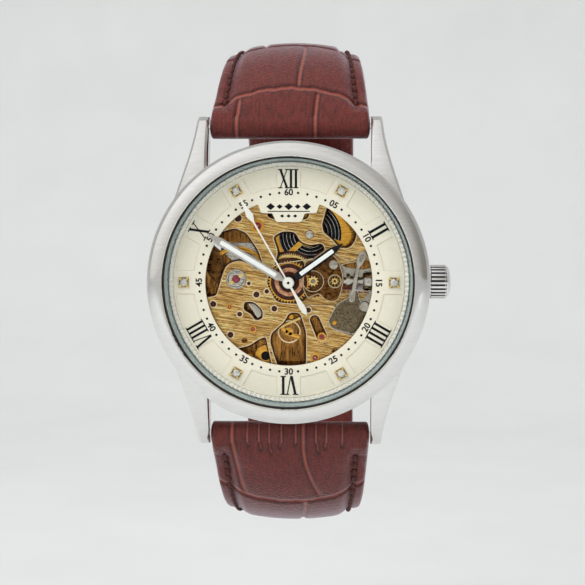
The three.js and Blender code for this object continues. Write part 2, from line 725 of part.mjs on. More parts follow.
const fourthPinionPhase = meshingPhase(
  THIRD, THIRD_TEETH, thirdPhase, CENTRE, FOURTH_PINION,
);
const fourthPhase = 0.015;
function fourthWheel() {
  const teeth = gearShape(FOURTH_TEETH, fourthPitch, CENTRE, { phase: fourthPhase });
  const windows = spokeWindows(4, 0.8, 3.35, 0.42, 2, 3, CENTRE, 0.5);
  const leaves = gearShape(FOURTH_PINION, fourthPinionPitch, CENTRE, {
    leaf: true,
    phase: fourthPinionPhase,
  });
  return join(
    cut(plate(teeth, ...FOURTH_WHEEL), ...windows),
    plate(leaves, ...FOURTH_LEAVES),
    disc(0.16, BRIDGE_FACE, 8.2, CENTRE, 4),
  );
}
add("fourth_wheel", fourthWheel(), GOLD);

const escapePinionPhase = meshingPhase(
  CENTRE, FOURTH_TEETH, fourthPhase, ESCAPE, ESCAPE_PINION,
);
const ESCAPE_R = 2.1;
function escapeWheel() {
  const points = [];
  const step = TURN / ESCAPE_TEETH;
  for (let i = 0; i < ESCAPE_TEETH; i += 1) {
    points.push(onCircle(ESCAPE_R * 0.74, i * step, ESCAPE));
    points.push(onCircle(ESCAPE_R, (i + 0.42) * step, ESCAPE));
    points.push(onCircle(ESCAPE_R * 0.97, (i + 0.56) * step, ESCAPE));
    points.push(onCircle(ESCAPE_R * 0.74, (i + 0.5) * step, ESCAPE));
  }
  const rim = plate(polygon(points), ...ESCAPE_WHEEL);
  const windows = spokeWindows(4, 0.55, 1.25, 0.25, 3, 4, ESCAPE, 0.4);
  const pinion = plate(
    gearShape(ESCAPE_PINION, escapePinionPitch, ESCAPE, { leaf: true, phase: escapePinionPhase }),
    ...ESCAPE_LEAVES,
  );
  return join(cut(rim, ...windows), pinion, disc(0.15, BRIDGE_FACE, 5.2, ESCAPE, 4));
}
add("escape_wheel", escapeWheel(), STEEL);

// Lever: two pallet arms by the escape wheel and a fork that reaches to the balance roller.
function palletFork() {
  const along = Math.atan2(BALANCE[1] - PALLET[1], BALANCE[0] - PALLET[0]);
  const toEscape = Math.atan2(ESCAPE[1] - PALLET[1], ESCAPE[0] - PALLET[0]);
  const armEnd = (side) => onCircle(1.5, toEscape + side * 1.25, PALLET);
  const neck = onCircle(4.0, along, PALLET);
  const body = plate(link(PALLET, neck, 0.3, 0.16), ...FORK, 4);
  const arms = [1, -1].map((side) => plate(link(PALLET, armEnd(side), 0.28, 0.2), ...FORK, 3));
  const horns = [1, -1].map((side) => {
    const tip = onCircle(4.42, along + side * 0.1, PALLET);
    return plate(link(neck, tip, 0.16, 0.1), ...FORK, 3);
  });
  return join(body, ...arms, ...horns, disc(0.15, 2.85, 5.0, PALLET, 4));
}
add("pallet_fork", palletFork(), STEEL);

const BALANCE_R = 4.5;
function balanceWheel() {
  const rim = ring(BALANCE_R, BALANCE_R - 0.55, ...BALANCE_RIM, BALANCE, 12);
  const arms = [0, 1, 2].map((i) => {
    const end = onCircle(BALANCE_R - 0.4, (i * TURN) / 3 + 0.6, BALANCE);
    return plate(link(BALANCE, end, 0.3, 0.22), ...BALANCE_ARMS, 3);
  });
  const staff = disc(0.13, BRIDGE_FACE, 5.3, BALANCE, 4);
  const roller = disc(0.55, 3.2, 3.6, BALANCE, 6);
  return join(rim, ...arms, disc(0.5, 2.8, 3.2, BALANCE, 6), staff, roller);
}
add("balance_wheel", balanceWheel(), GOLD);
add("hairspring", plate(spiral(0.45, 2.4, 5, 0.07, BALANCE, 10), ...HAIRSPRING_AT), DARK_STEEL);

// ---------- motion works ----------
const cannonPhase = 0;
function cannonPinion() {
  const leaves = gearShape(CANNON_TEETH, cannonPitch, CENTRE, { leaf: true, phase: cannonPhase });
  const pipe = disc(0.55, 5.3, 8.1, CENTRE, 6);
  return cut(join(plate(leaves, 5.0, 5.4), pipe), disc(0.25, 4, 9, CENTRE, 4));
}
add("cannon_pinion", cannonPinion(), STEEL);

const minutePhase = meshingPhase(CENTRE, CANNON_TEETH, cannonPhase, MINUTE, MINUTE_TEETH);
function minuteWheel() {
  const teeth = gearShape(MINUTE_TEETH, minutePitch, MINUTE, { phase: minutePhase });
  const pinion = plate(gearShape(MINUTE_PINION, minutePinionPitch, MINUTE, { leaf: true }), 5.15, 5.8);
  const arbor = disc(0.2, POCKET_FLOOR + 0.02, 5.9, MINUTE, 4);
  return join(plate(teeth, ...MINUTE_WHEEL), pinion, arbor);
}
add("minute_wheel", minuteWheel(), DARK_STEEL);

const hourPhase = meshingPhase(MINUTE, MINUTE_PINION, 0, CENTRE, HOUR_TEETH);
function hourWheel() {
  const rim = plate(gearShape(HOUR_TEETH, hourPitch, CENTRE, { phase: hourPhase }), ...HOUR_WHEEL);
  const pipe = disc(1.0, 5.6, 7.55, CENTRE, 8);
  return cut(join(rim, pipe), disc(0.6, 5, 9, CENTRE, 6));
}
add("hour_wheel", hourWheel(), DARK_STEEL);
add("dial_washer", ring(2.0, 1.05, 5.75, 5.85, CENTRE, 8), COPPER);

function settingWheel() {
  const phase = meshingPhase(MINUTE, MINUTE_TEETH, minutePhase, SETTING, SETTING_TEETH);
  const leaves = gearShape(SETTING_TEETH, settingPitch, SETTING, { leaf: true, phase });
  return join(plate(leaves, 5.0, 5.25), disc(0.35, POCKET_FLOOR + 0.02, 5.6, SETTING, 5));
}
add("setting_wheel", settingWheel(), DARK_STEEL);

// Dark cover over the minute and setting wheels, with a round window over each.
function motionCover() {
  const outline = rounded([
    [2.3, 3.0, 0.6], [4.8, 3.2, 0.8], [6.2, 3.9, 0.7], [7.0, 2.6, 0.6], [7.6, 0.6, 0.8],
    [7.2, -1.6, 0.6], [6.6, -2.7, 0.7], [5.2, -2.6, 0.6], [4.2, -1.5, 0.5], [2.6, -2.2, 0.4],
    [2.0, -0.9, 0.3], [2.0, 1.2, 0.3],
  ]);
  return cut(
    plate(outline, ...COVERS, 3),
    disc(1.35, 5, 7, MINUTE, 7),
    disc(0.85, 5, 7, SETTING, 6),
    disc(1.15, 5, 7, CENTRE, 7),
  );
}
add("motion_works_cover", motionCover(), DARK_STEEL);

// ---------- keyless works ----------
const CLUTCH_X = [8.0, 9.5];
const WINDING_X = [10.3, 11.6];

// A contrate pinion on the stem: a turned body with teeth cut round one part of it.
function stemPinion([x0, x1], radius, bore, teeth) {
  const body = turnedOnStem(
    [[bore, x0], [radius, x0], [radius, x0 + 0.45], [radius * 0.7, x0 + 0.45], [radius * 0.7, x1 - 0.5],
      [radius, x1 - 0.5], [radius, x1], [bore, x1], [bore, x0]],
    16,
  );
  const slots = Array.from({ length: teeth }, (_, i) => {
    const slot = block([x0 - 0.1, x0 + 0.3], [-0.1, 0.1], [radius * 0.75, radius + 0.5]);
    return slot.rotate([(360 * i) / teeth, 0, 0]).translate([0, 0, STEM_Z]);
  });
  return cut(body, ...slots);
}
add("sliding_pinion", stemPinion(CLUTCH_X, 1.05, 0.55, 10), STEEL);

function windingPinion() {
  const [x0, x1] = WINDING_X;
  const radius = 1.3;
  const teeth = Array.from({ length: WINDING_TEETH }, (_, i) => {
    const slot = block([x0 + 0.35, x1 + 0.2], [-0.09, 0.09], [radius - 0.22, radius + 0.5]);
    return slot.rotate([(360 * i) / WINDING_TEETH, 0, 0]).translate([0, 0, STEM_Z]);
  });
  const profile = [
    [0.55, x0], [radius - 0.2, x0], [radius, x0 + 0.3], [radius, x1], [0.55, x1], [0.55, x0],
  ];
  return cut(turnedOnStem(profile, 14), ...teeth);
}
add("winding_pinion", windingPinion(), STEEL);

add(
  "stem",
  turnedOnStem(
    [
      [0, 7.3], [0.3, 7.3], [0.5, 7.6], [0.5, 12.0], [0.36, 12.0], [0.36, 12.5],
      [0.5, 12.5], [0.5, 21.0], [0, 21.0],
    ],
    12,
  ),
  STEEL,
);

const CROWN_R = 2.4;
const CROWN_X = [19.65, 21.9]; // the fluted part
const FLUTES = 24;
function crown() {
  const points = [];
  for (let i = 0; i < FLUTES; i += 1) {
    const angle = (i * TURN) / FLUTES;
    points.push(onCircle(CROWN_R - 0.2, angle));
    points.push(onCircle(CROWN_R, angle + (0.3 * TURN) / FLUTES));
    points.push(onCircle(CROWN_R, angle + (0.7 * TURN) / FLUTES));
  }
  const fluted = plate(polygon(points), ...CROWN_X).rotate([0, 90, 0]).translate([0, 0, STEM_Z]);
  const cap = turnedOnStem([[0, 21.5], [2.2, 21.5], [2.2, 22.1], [1.7, 22.4], [0, 22.6]], 24);
  const bore = turnedOnStem([[0, 19], [1.25, 19], [1.25, 20.7], [0.54, 20.7], [0.54, 21.05], [0, 21.05]], 16);
  return cut(join(fluted, cap), bore);
}
add("crown", crown(), STEEL);

// Setting lever: turns on its screw and carries a pin in the stem's groove.
function settingLever() {
  const arm = plate(link(LEVER_PIVOT, [12.25, -0.9], 0.8, 0.45), 5.05, 5.3, 4);
  const pin = disc(0.18, 4.25, 5.1, [12.25, -0.52], 4);
  return cut(join(arm, pin), disc(0.4, 5, 6, LEVER_PIVOT, 4));
}
add("setting_lever", settingLever(), GREY_STEEL);
function yoke() {
  const arm = plate(link(YOKE_PIVOT, [8.75, -1.45], 0.7, 0.3), 5.4, 5.6, 4);
  const finger = disc(0.16, 4.7, 5.45, [8.75, -1.25], 4);
  return join(arm, finger, disc(0.3, POCKET_FLOOR + 0.02, 5.5, YOKE_PIVOT, 4));
}
add("yoke", yoke(), GREY_STEEL);

// Setting lever jumper: a dark plate with a long spring arm that ends in a loop.
function settingJumper() {
  const blade = rounded([
    [8.9, -1.1, 0.4], [8.5, -2.1, 0.5], [6.9, -2.9, 0.7], [6.3, -3.8, 0.5], [5.5, -5.4, 0.5],
    [5.7, -6.1, 0.5], [6.3, -6.5, 0.4], [8.95, -7.3, 0.5], [10.2, -5.9, 0.5], [11.0, -4.2, 0.5],
    [9.9, -2.6, 0.5], [9.5, -1.1, 0.3],
  ]);
  const arm = link([9.3, -1.6], [9.75, 3.0], 0.55, 0.3);
  const loop = ring(0.95, 0.45, ...JUMPER, [10.0, 3.9], 6);
  const screwHole = disc(0.8, 5, 7, LEVER_PIVOT, 6);
  return cut(join(plate(blade, ...JUMPER, 3), plate(arm, ...JUMPER, 4), loop), screwHole);
}
add("setting_lever_jumper", settingJumper(), DARK_STEEL);

// A slotted screw: head and shank.
function screw(at, headRadius, headLow, headHigh, shankRadius, shankLow, slotAngle) {
  const head = disc(headRadius, headLow, headHigh, at, 6);
  const shank = disc(shankRadius, shankLow, headLow + 0.05, at, 4);
  const slot = block([-headRadius - 1, headRadius + 1], [-0.09, 0.09], [headHigh - 0.12, headHigh + 1]);
  return cut(join(head, shank), slot.rotate([0, 0, slotAngle]).translate([...at, 0]));
}
const leverScrew = screw(LEVER_PIVOT, 0.73, 6.0, 6.3, 0.3, POCKET_FLOOR + 0.02, 12);
add("setting_lever_screw", leverScrew, STEEL);
add("jumper_screw", screw([6.35, -5.65], 0.35, 6.25, 6.4, 0.15, JUMPER[1] + 0.02, 40), GOLD);

// ---------- hands ----------
// A hand outline pointing to +y from the axis, turned clockwise to its angle.
function hand(shapes, angle, [low, high], hubRadius, boreRadius) {
  const blades = shapes.map((shape) => plate(shape, low, high, 4));
  const bore = disc(boreRadius, low - 1, high + 1, CENTRE, 5);
  const made = cut(join(disc(hubRadius, low, high, CENTRE, 8), ...blades), bore);
  return made.rotate([0, 0, -angle]);
}

function batonShape(length, halfWidth, rootHalf) {
  const shoulder = length - 1.7;
  return polygon([
    [-rootHalf, 0], [rootHalf, 0], [rootHalf, 0.9], [halfWidth, 1.6], [halfWidth, shoulder],
    [0.04, length], [-0.04, length], [-halfWidth, shoulder], [-halfWidth, 1.6], [-rootHalf, 0.9],
  ]);
}
const hourBaton = batonShape(HOUR_LENGTH, 0.53, 0.3);
const minuteBaton = batonShape(MINUTE_LENGTH, 0.55, 0.26);
add("hour_hand", hand([hourBaton], HOUR_ANGLE, HOUR_HAND, 1.05, 0.62), BLACK);
add("minute_hand", hand([minuteBaton], MINUTE_ANGLE, MINUTE_HAND, 0.85, 0.25), WHITE);
const leaf = polygon([
  [-0.1, 0], [0.1, 0], [0.1, 9.6], [0.5, 10.6], [0.06, SECONDS_LENGTH],
  [-0.06, SECONDS_LENGTH], [-0.5, 10.6], [-0.1, 9.6],
]);
const tail = polygon([
  [-0.1, 0], [-0.2, -2.2], [-0.4, -3.6], [-0.4, -4.3], [-0.1, -SECONDS_TAIL],
  [0.1, -SECONDS_TAIL], [0.4, -4.3], [0.4, -3.6], [0.2, -2.2], [0.1, 0],
]);
add("seconds_hand", hand([leaf, tail], SECONDS_ANGLE, SECONDS_HAND, 0.75, 0.19), WHITE);

// ---------- strap ----------
// Spring bars between the lugs.
[["spring_bar_upper", 1], ["spring_bar_lower", -1]].forEach(([name, side]) => {
  const body = new THREE.CylinderGeometry(BAR_R, BAR_R, LUG_GAP - 0.6, 12).rotateZ(TURN / 4);
  const pins = new THREE.CylinderGeometry(0.4, 0.4, LUG_GAP + 1.2, 10).rotateZ(TURN / 4);
  const place = (geometry) => solid(geometry.translate(0, side * BAR_Y, BAR_Z));
  add(name, join(place(body), place(pins)), STEEL);
});

// The strap's middle line in the world's YZ plane: a front arc from the spring bar to the loop's widest
// point, then a quarter ellipse round the back. "inset" moves the line in towards the wrist.
function strapLine(side, loopHeight, endAngle, inset, steps) {
  const barY = -BAR_Z;
  const radius = (loopHeight - BAR_Y) / 2 + (LOOP_Y - barY) ** 2 / (2 * (loopHeight - BAR_Y));
  const line = [];
  const arcCentre = loopHeight - radius;
  const startAngle = Math.atan2(BAR_Y - arcCentre, barY - LOOP_Y);
  for (let i = 0; i < 10; i += 1) {
    const angle = startAngle + ((TURN / 4 - startAngle) * i) / 10;
    line.push([LOOP_Y + radius * Math.cos(angle), arcCentre + radius * Math.sin(angle)]);
  }
  for (let i = 0; i <= steps; i += 1) {
    const angle = TURN / 4 + ((endAngle - TURN / 4) * i) / steps;
    const shrink = inset(angle);
    line.push([LOOP_Y + (LOOP_DEPTH - shrink) * Math.cos(angle), (loopHeight - shrink) * Math.sin(angle)]);
  }
  return line.map(([y, z]) => [y, side * z]);
}

// A strap half: flat sections with softened edges swept along its middle line.
function strapHalf(line, thicknessAt, widthAt, tipLength) {
  const lengths = [0];
  for (let i = 1; i < line.length; i += 1) {
    lengths.push(lengths[i - 1] + Math.hypot(line[i][0] - line[i - 1][0], line[i][1] - line[i - 1][1]));
  }
  const total = lengths.at(-1);
  const rings = line.map(([y, z], i) => {
    const before = line[Math.max(i - 1, 0)];
    const after = line[Math.min(i + 1, line.length - 1)];
    const along = new THREE.Vector2(after[0] - before[0], after[1] - before[1]).normalize();
    const share = lengths[i] / total;
    const toTip = (total - lengths[i]) / tipLength;
    const taper = toTip < 1 ? Math.max(0.35, Math.sqrt(1 - (1 - toTip) ** 2)) : 1;
    const half = (widthAt(share) / 2) * taper;
    const thick = thicknessAt(share) / 2;
    const edge = Math.min(0.8, thick * 0.7);
    const section = [
      [-half, -thick + edge], [-half + edge, -thick], [half - edge, -thick], [half, -thick + edge],
      [half, thick - edge], [half - edge, thick], [-half + edge, thick], [-half, thick - edge],
    ];
    return section.map(([x, out]) => [x, y - out * along.y, z + out * along.x]);
  });
  return loft(rings);
}

const TAPER_END = 0.53; // the share of each half's length over which it narrows
const widthAt = (share) =>
  STRAP_WIDTH + (STRAP_END_WIDTH - STRAP_WIDTH) * Math.min(1, share / TAPER_END);
const noInset = () => 0;
const TAIL_INSET = 4.4;
// The lower half's tail tucks inside the upper half, from 60 degrees before the back of the loop.
const tuck = (angle) => {
  const share = Math.min(1, Math.max(0, (1.0 - angle) / 0.75));
  return TAIL_INSET * share * share * (3 - 2 * share);
};
const UPPER_END = -0.06;
const LOWER_END = -0.72;
const upperThickness = (share) => 3.4 - 1.3 * Math.min(1, share * 1.5);
const lowerThickness = (share) => 3.4 - 1.5 * Math.min(1, share * 1.8);
const upperLine = strapLine(1, UPPER_LOOP, UPPER_END, noInset, 12);
const lowerLine = strapLine(-1, LOWER_LOOP, LOWER_END, tuck, 20);

function barHole(y, z, radius) {
  return solid(new THREE.CylinderGeometry(radius, radius, 40, 12).rotateZ(TURN / 4).translate(0, y, z));
}

// Each half ends in a rolled loop round its spring bar.
function strapWithLoop(side, half) {
  const round = new THREE.CylinderGeometry(1.55, 1.55, STRAP_WIDTH, 14).rotateZ(TURN / 4);
  const roll = solid(round.translate(0, -BAR_Z, side * BAR_Y));
  return cut(join(half, roll), barHole(-BAR_Z, side * BAR_Y, BAR_R + 0.08));
}

// The upper half ends in a second loop, open in the middle for the buckle's tongue.
const BUCKLE_BAR = [LOOP_Y + LOOP_DEPTH, -2.4]; // world y and z
const BUCKLE_LOOP_R = 1.7;
function upperStrap() {
  const half = strapWithLoop(1, strapHalf(upperLine, upperThickness, widthAt, 0.01));
  const roll = solid(
    new THREE.CylinderGeometry(BUCKLE_LOOP_R, BUCKLE_LOOP_R, STRAP_END_WIDTH, 14)
      .rotateZ(TURN / 4)
      .translate(0, ...BUCKLE_BAR),
  );
  const [barY, barZ] = BUCKLE_BAR;
  const tongueSlot = block([-1.6, 1.6], [barY - 3, barY + 3], [barZ - 3, barZ + 2.2]);
  return cut(join(half, roll), barHole(...BUCKLE_BAR, BAR_R + 0.08), tongueSlot);
}
add("strap_upper", upperStrap(), LEATHER, group);
add("strap_lower", strapWithLoop(-1, strapHalf(lowerLine, lowerThickness, widthAt, 9)), LEATHER, group);

// Leather keepers round the upper half, at an angle up from the back of the loop.
function keeper(angle) {
  const wall = 0.8;
  const halfWidth = 9.9;
  const halfThick = 1.35;
  const halfLength = 2.6;
  const outer = block(
    [-halfWidth - wall, halfWidth + wall],
    [LOOP_DEPTH - halfThick - wall, LOOP_DEPTH + halfThick + wall],
    [-halfLength, halfLength],
  );
  const inner = block(
    [-halfWidth, halfWidth],
    [LOOP_DEPTH - halfThick, LOOP_DEPTH + halfThick],
    [-halfLength - 1, halfLength + 1],
  );
  return cut(outer, inner).rotate([angle, 0, 0]).translate([0, LOOP_Y, 0]);
}
add("keeper_fixed", keeper(5), LEATHER, group);
add("keeper_sliding", keeper(19), LEATHER, group);

// Pin buckle: a frame hinged on its spring bar, with a tongue that rests on the frame's far side.
// Both are drawn lying along -z from the bar, then leaned in towards the wrist.
const BUCKLE_LEAN = -14; // degrees
const FRAME_INNER = 9.5;
const FRAME_OUTER = 11.6;
const FRAME_REACH = 11.5;
const placeOnBar = (made) => made.rotate([BUCKLE_LEAN, 0, 0]).translate([0, ...BUCKLE_BAR]);
function buckleFrame() {
  const outline = rounded([
    [-FRAME_OUTER, 1.4, 0.6], [-FRAME_OUTER, -FRAME_REACH, 3.0],
    [FRAME_OUTER, -FRAME_REACH, 3.0], [FRAME_OUTER, 1.4, 0.6],
    [FRAME_INNER, 1.4, 0.3], [FRAME_INNER, -FRAME_REACH + 2.4, 1.6],
    [-FRAME_INNER, -FRAME_REACH + 2.4, 1.6], [-FRAME_INNER, 1.4, 0.3],
  ]);
  const flat = plate(outline, -0.95, 0.95, 4).rotate([90, 0, 0]); // outline y becomes z
  return cut(placeOnBar(flat), barHole(...BUCKLE_BAR, 0.52));
}
add("buckle_frame", buckleFrame(), STEEL, group);
function buckleTongue() {
  const loop = new THREE.CylinderGeometry(1.35, 1.35, 2.4, 14).rotateZ(TURN / 4);
  const pin = loft(
    [
      // z along the tongue, middle y, half size
      [-0.4, 0.7, 0.62],
      [-3.0, 1.0, 0.62],
      [-8.2, 1.55, 0.6],
      [-9.4, 1.8, 0.6],
      [-11.9, 1.75, 0.4],
    ].map(([z, y, half]) =>
      Array.from({ length: 8 }, (_, i) => {
        const [x, out] = onCircle(half, (i * TURN) / 8);
        return [x, y + out, z];
      }),
    ),
  );
  return cut(placeOnBar(join(solid(loop), pin)), barHole(...BUCKLE_BAR, BAR_R + 0.06));
}
add("buckle_tongue", buckleTongue(), STEEL, group);
function buckleBar() {
  const body = new THREE.CylinderGeometry(BAR_R, BAR_R, 2 * FRAME_INNER - 0.4, 12).rotateZ(TURN / 4);
  const pins = new THREE.CylinderGeometry(0.42, 0.42, 2 * FRAME_OUTER - 1.2, 10).rotateZ(TURN / 4);
  return join(solid(body), solid(pins)).translate([0, ...BUCKLE_BAR]);
}
add("buckle_bar", buckleBar(), STEEL, group);

export default group;
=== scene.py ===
"""Looks for the skeleton wristwatch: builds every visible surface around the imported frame.

The watch head is drawn lying flat, in millimetres: x towards the crown, y towards 12 o'clock and t, the
height above the back. stand() turns that into the frame's metres, where the dial faces -Y and 12 o'clock
is +Z. The strap is drawn in the YZ plane, where it closes into a loop behind the head.
"""
import math
import random

import bmesh
import bpy
import numpy as np
from mathutils import Matrix, Vector


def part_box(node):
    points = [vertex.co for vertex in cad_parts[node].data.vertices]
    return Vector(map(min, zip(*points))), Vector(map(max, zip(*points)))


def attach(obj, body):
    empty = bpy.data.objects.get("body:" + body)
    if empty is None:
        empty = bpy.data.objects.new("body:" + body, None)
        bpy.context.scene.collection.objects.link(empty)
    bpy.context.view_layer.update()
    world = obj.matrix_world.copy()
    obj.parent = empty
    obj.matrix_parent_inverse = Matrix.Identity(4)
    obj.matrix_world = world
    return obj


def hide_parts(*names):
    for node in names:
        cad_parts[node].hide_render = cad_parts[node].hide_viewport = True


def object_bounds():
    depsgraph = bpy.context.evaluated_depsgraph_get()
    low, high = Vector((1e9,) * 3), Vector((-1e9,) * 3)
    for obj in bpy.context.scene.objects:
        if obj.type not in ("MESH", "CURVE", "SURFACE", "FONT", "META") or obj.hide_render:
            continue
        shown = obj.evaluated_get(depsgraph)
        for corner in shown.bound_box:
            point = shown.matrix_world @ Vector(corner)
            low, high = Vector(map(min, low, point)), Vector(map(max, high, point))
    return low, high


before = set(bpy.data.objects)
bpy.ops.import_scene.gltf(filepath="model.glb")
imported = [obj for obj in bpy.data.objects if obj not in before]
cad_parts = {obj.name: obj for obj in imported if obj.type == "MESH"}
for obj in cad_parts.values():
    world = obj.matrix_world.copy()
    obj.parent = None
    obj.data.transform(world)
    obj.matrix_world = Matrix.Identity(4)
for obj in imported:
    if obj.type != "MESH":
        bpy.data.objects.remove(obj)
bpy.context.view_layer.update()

MM = 0.001
TURN = 2 * math.pi


# ---------------------------------------------------------------- sizes from the frame, in millimetres
def flat_box(node):
    """A node's box in the flat head's x, y, t."""
    low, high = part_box(node)
    return (low[0] / MM, low[2] / MM, -high[1] / MM), (high[0] / MM, high[2] / MM, -low[1] / MM)


def levels(node):
    """A node's lowest and highest level."""
    low, high = flat_box(node)
    return low[2], high[2]


def middle(node):
    """A node's middle in x and y."""
    low, high = flat_box(node)
    return (low[0] + high[0]) / 2, (low[1] + high[1]) / 2


def half_width(node):
    """Half a node's width along x."""
    low, high = flat_box(node)
    return (high[0] - low[0]) / 2


BEZEL_R = half_width("bezel")
BEZEL_LOW, BEZEL_HIGH = levels("bezel")
DIAL_R = half_width("dial")
DIAL_LOW, DIAL_HIGH = levels("dial")
PLATE_R = half_width("main_plate")
PLATE_LOW, PLATE_HIGH = levels("main_plate")
BARREL = middle("barrel_lid")
THIRD = middle("third_wheel")
BALANCE = middle("balance_jewel_ring")
LEVER_SCREW = middle("setting_lever_screw")
OPENING_R = 11.6  # the dial's opening
TRACK_R = 12.45  # the minute track
CASE_LOW = levels("case_middle")[0]
STEM_T = 3.8  # the winding stem's height
POCKET_T = 4.85  # the floor of the plate's pocket


# ---------------------------------------------------------------- materials
# the record's material slot of each finish that isn't named after one
SLOTS = {
    "motion_bronze": "dark_steel",
    "barrel_shadow": "gold_wheel",
    "train_gold": "gold_wheel",
    "polish_highlight_gold": "gold_wheel",
    "polish_highlight_steel": "movement_steel",
    "deep_shadow": "gold_wheel",
    "dial_print": "dial_enamel",
    "cream_hand": "silver_hand",
    "lume": "silver_hand",
    "gem_stone": "sapphire",
    "thread": "brown_leather",
    "dial_step_shade": "dial_enamel",
    "dial_rib": "dial_enamel",
    "arm_steel": "grey_steel",
}


def new_material(name):
    """An empty finish with the record's slot written on it."""
    material = bpy.data.materials.new(name)
    material["slot"] = SLOTS.get(name, name)
    material.use_nodes = True
    nodes = material.node_tree.nodes
    return material, nodes, material.node_tree.links, nodes["Principled BSDF"]


def set_inputs(node, values):
    """Sets a node's own sockets from a table of name and value."""
    for name, value in values.items():
        node.inputs[name].default_value = value


def mapped(nodes, links, scale, rotation=(0, 0, 0)):
    """Object coordinates in millimetres, turned and stretched."""
    where = nodes.new("ShaderNodeTexCoord")
    mapping = nodes.new("ShaderNodeMapping")
    mapping.vector_type = "TEXTURE"
    set_inputs(mapping, {"Rotation": rotation, "Scale": [MM / s for s in scale]})
    links.new(where.outputs["Object"], mapping.inputs["Vector"])
    return mapping.outputs["Vector"]


def noise(nodes, links, vector, detail=4.0, roughness=0.6):
    """Cloudy noise, one cloud per unit of its vector."""
    texture = nodes.new("ShaderNodeTexNoise")
    set_inputs(texture, {"Scale": 1.0, "Detail": detail, "Roughness": roughness})
    links.new(vector, texture.inputs["Vector"])
    return texture.outputs["Fac"]


def ramp(nodes, links, factor, stops):
    """A colour ramp from (position, colour) stops."""
    node = nodes.new("ShaderNodeValToRGB")
    elements = node.color_ramp.elements
    while len(elements) < len(stops):
        elements.new(0.5)
    for element, (position, colour) in zip(elements, stops):
        element.position = position
        element.color = (*colour, 1)
    links.new(factor, node.inputs["Fac"])
    return node.outputs["Color"]


def spread(nodes, links, factor, low, high, start=0.3, stop=0.7):
    """A factor's stretch from start to stop, mapped to low and high."""
    node = nodes.new("ShaderNodeMapRange")
    set_inputs(node, {"From Min": start, "From Max": stop, "To Min": low, "To Max": high})
    links.new(factor, node.inputs["Value"])
    return node.outputs["Result"]


def multiplied(nodes, links, colour, by, share=1.0):
    """One colour darkened or lightened by another."""
    mix = nodes.new("ShaderNodeMix")
    mix.data_type = "RGBA"
    mix.blend_type = "MULTIPLY"
    set_inputs(mix, {"Factor": share})
    links.new(colour, mix.inputs["A"])
    links.new(by, mix.inputs["B"])
    return mix.outputs["Result"]


def bump(nodes, links, shader, height, distance, strength=1.0):
    """Relief of a height, in millimetres."""
    node = nodes.new("ShaderNodeBump")
    set_inputs(node, {"Strength": strength, "Distance": distance * MM})
    links.new(height, node.inputs["Height"])
    links.new(node.outputs["Normal"], shader.inputs["Normal"])


def grained(name, dark, light, metallic, rough, grain=(1, 1, 1), relief=0.004, coat=0.0, shine=0.5):
    """A finish whose colour, roughness and relief follow one stretched grain."""
    material, nodes, links, shader = new_material(name)
    fine = noise(nodes, links, mapped(nodes, links, grain), 6.0)
    links.new(ramp(nodes, links, fine, [(0.3, dark), (0.7, light)]), shader.inputs["Base Color"])
    links.new(spread(nodes, links, fine, *rough), shader.inputs["Roughness"])
    set_inputs(shader, {"Metallic": metallic, "Coat Weight": coat, "Specular IOR Level": shine})
    bump(nodes, links, shader, fine, relief)
    return material


def clear_glass(name, tint):
    """Glass for thin domes: seen straight through, with reflections that grow at grazing angles."""
    material, nodes, links, shader = new_material(name)
    set_inputs(shader, {"Metallic": 1.0, "Base Color": (1, 1, 1, 1)})
    smudges = noise(nodes, links, mapped(nodes, links, (0.15, 0.15, 0.15)), 2.0)
    links.new(spread(nodes, links, smudges, 0.01, 0.04), shader.inputs["Roughness"])
    through = nodes.new("ShaderNodeBsdfTransparent")
    set_inputs(through, {"Color": (*tint, 1)})
    slope = nodes.new("ShaderNodeLayerWeight")
    set_inputs(slope, {"Blend": 0.5})
    mix = nodes.new("ShaderNodeMixShader")
    links.new(spread(nodes, links, slope.outputs["Facing"], 0.0, 0.6, 0.55, 1.0), mix.inputs["Fac"])
    links.new(through.outputs["BSDF"], mix.inputs[1])
    links.new(shader.outputs["BSDF"], mix.inputs[2])
    links.new(mix.outputs["Shader"], nodes["Material Output"].inputs["Surface"])
    return material


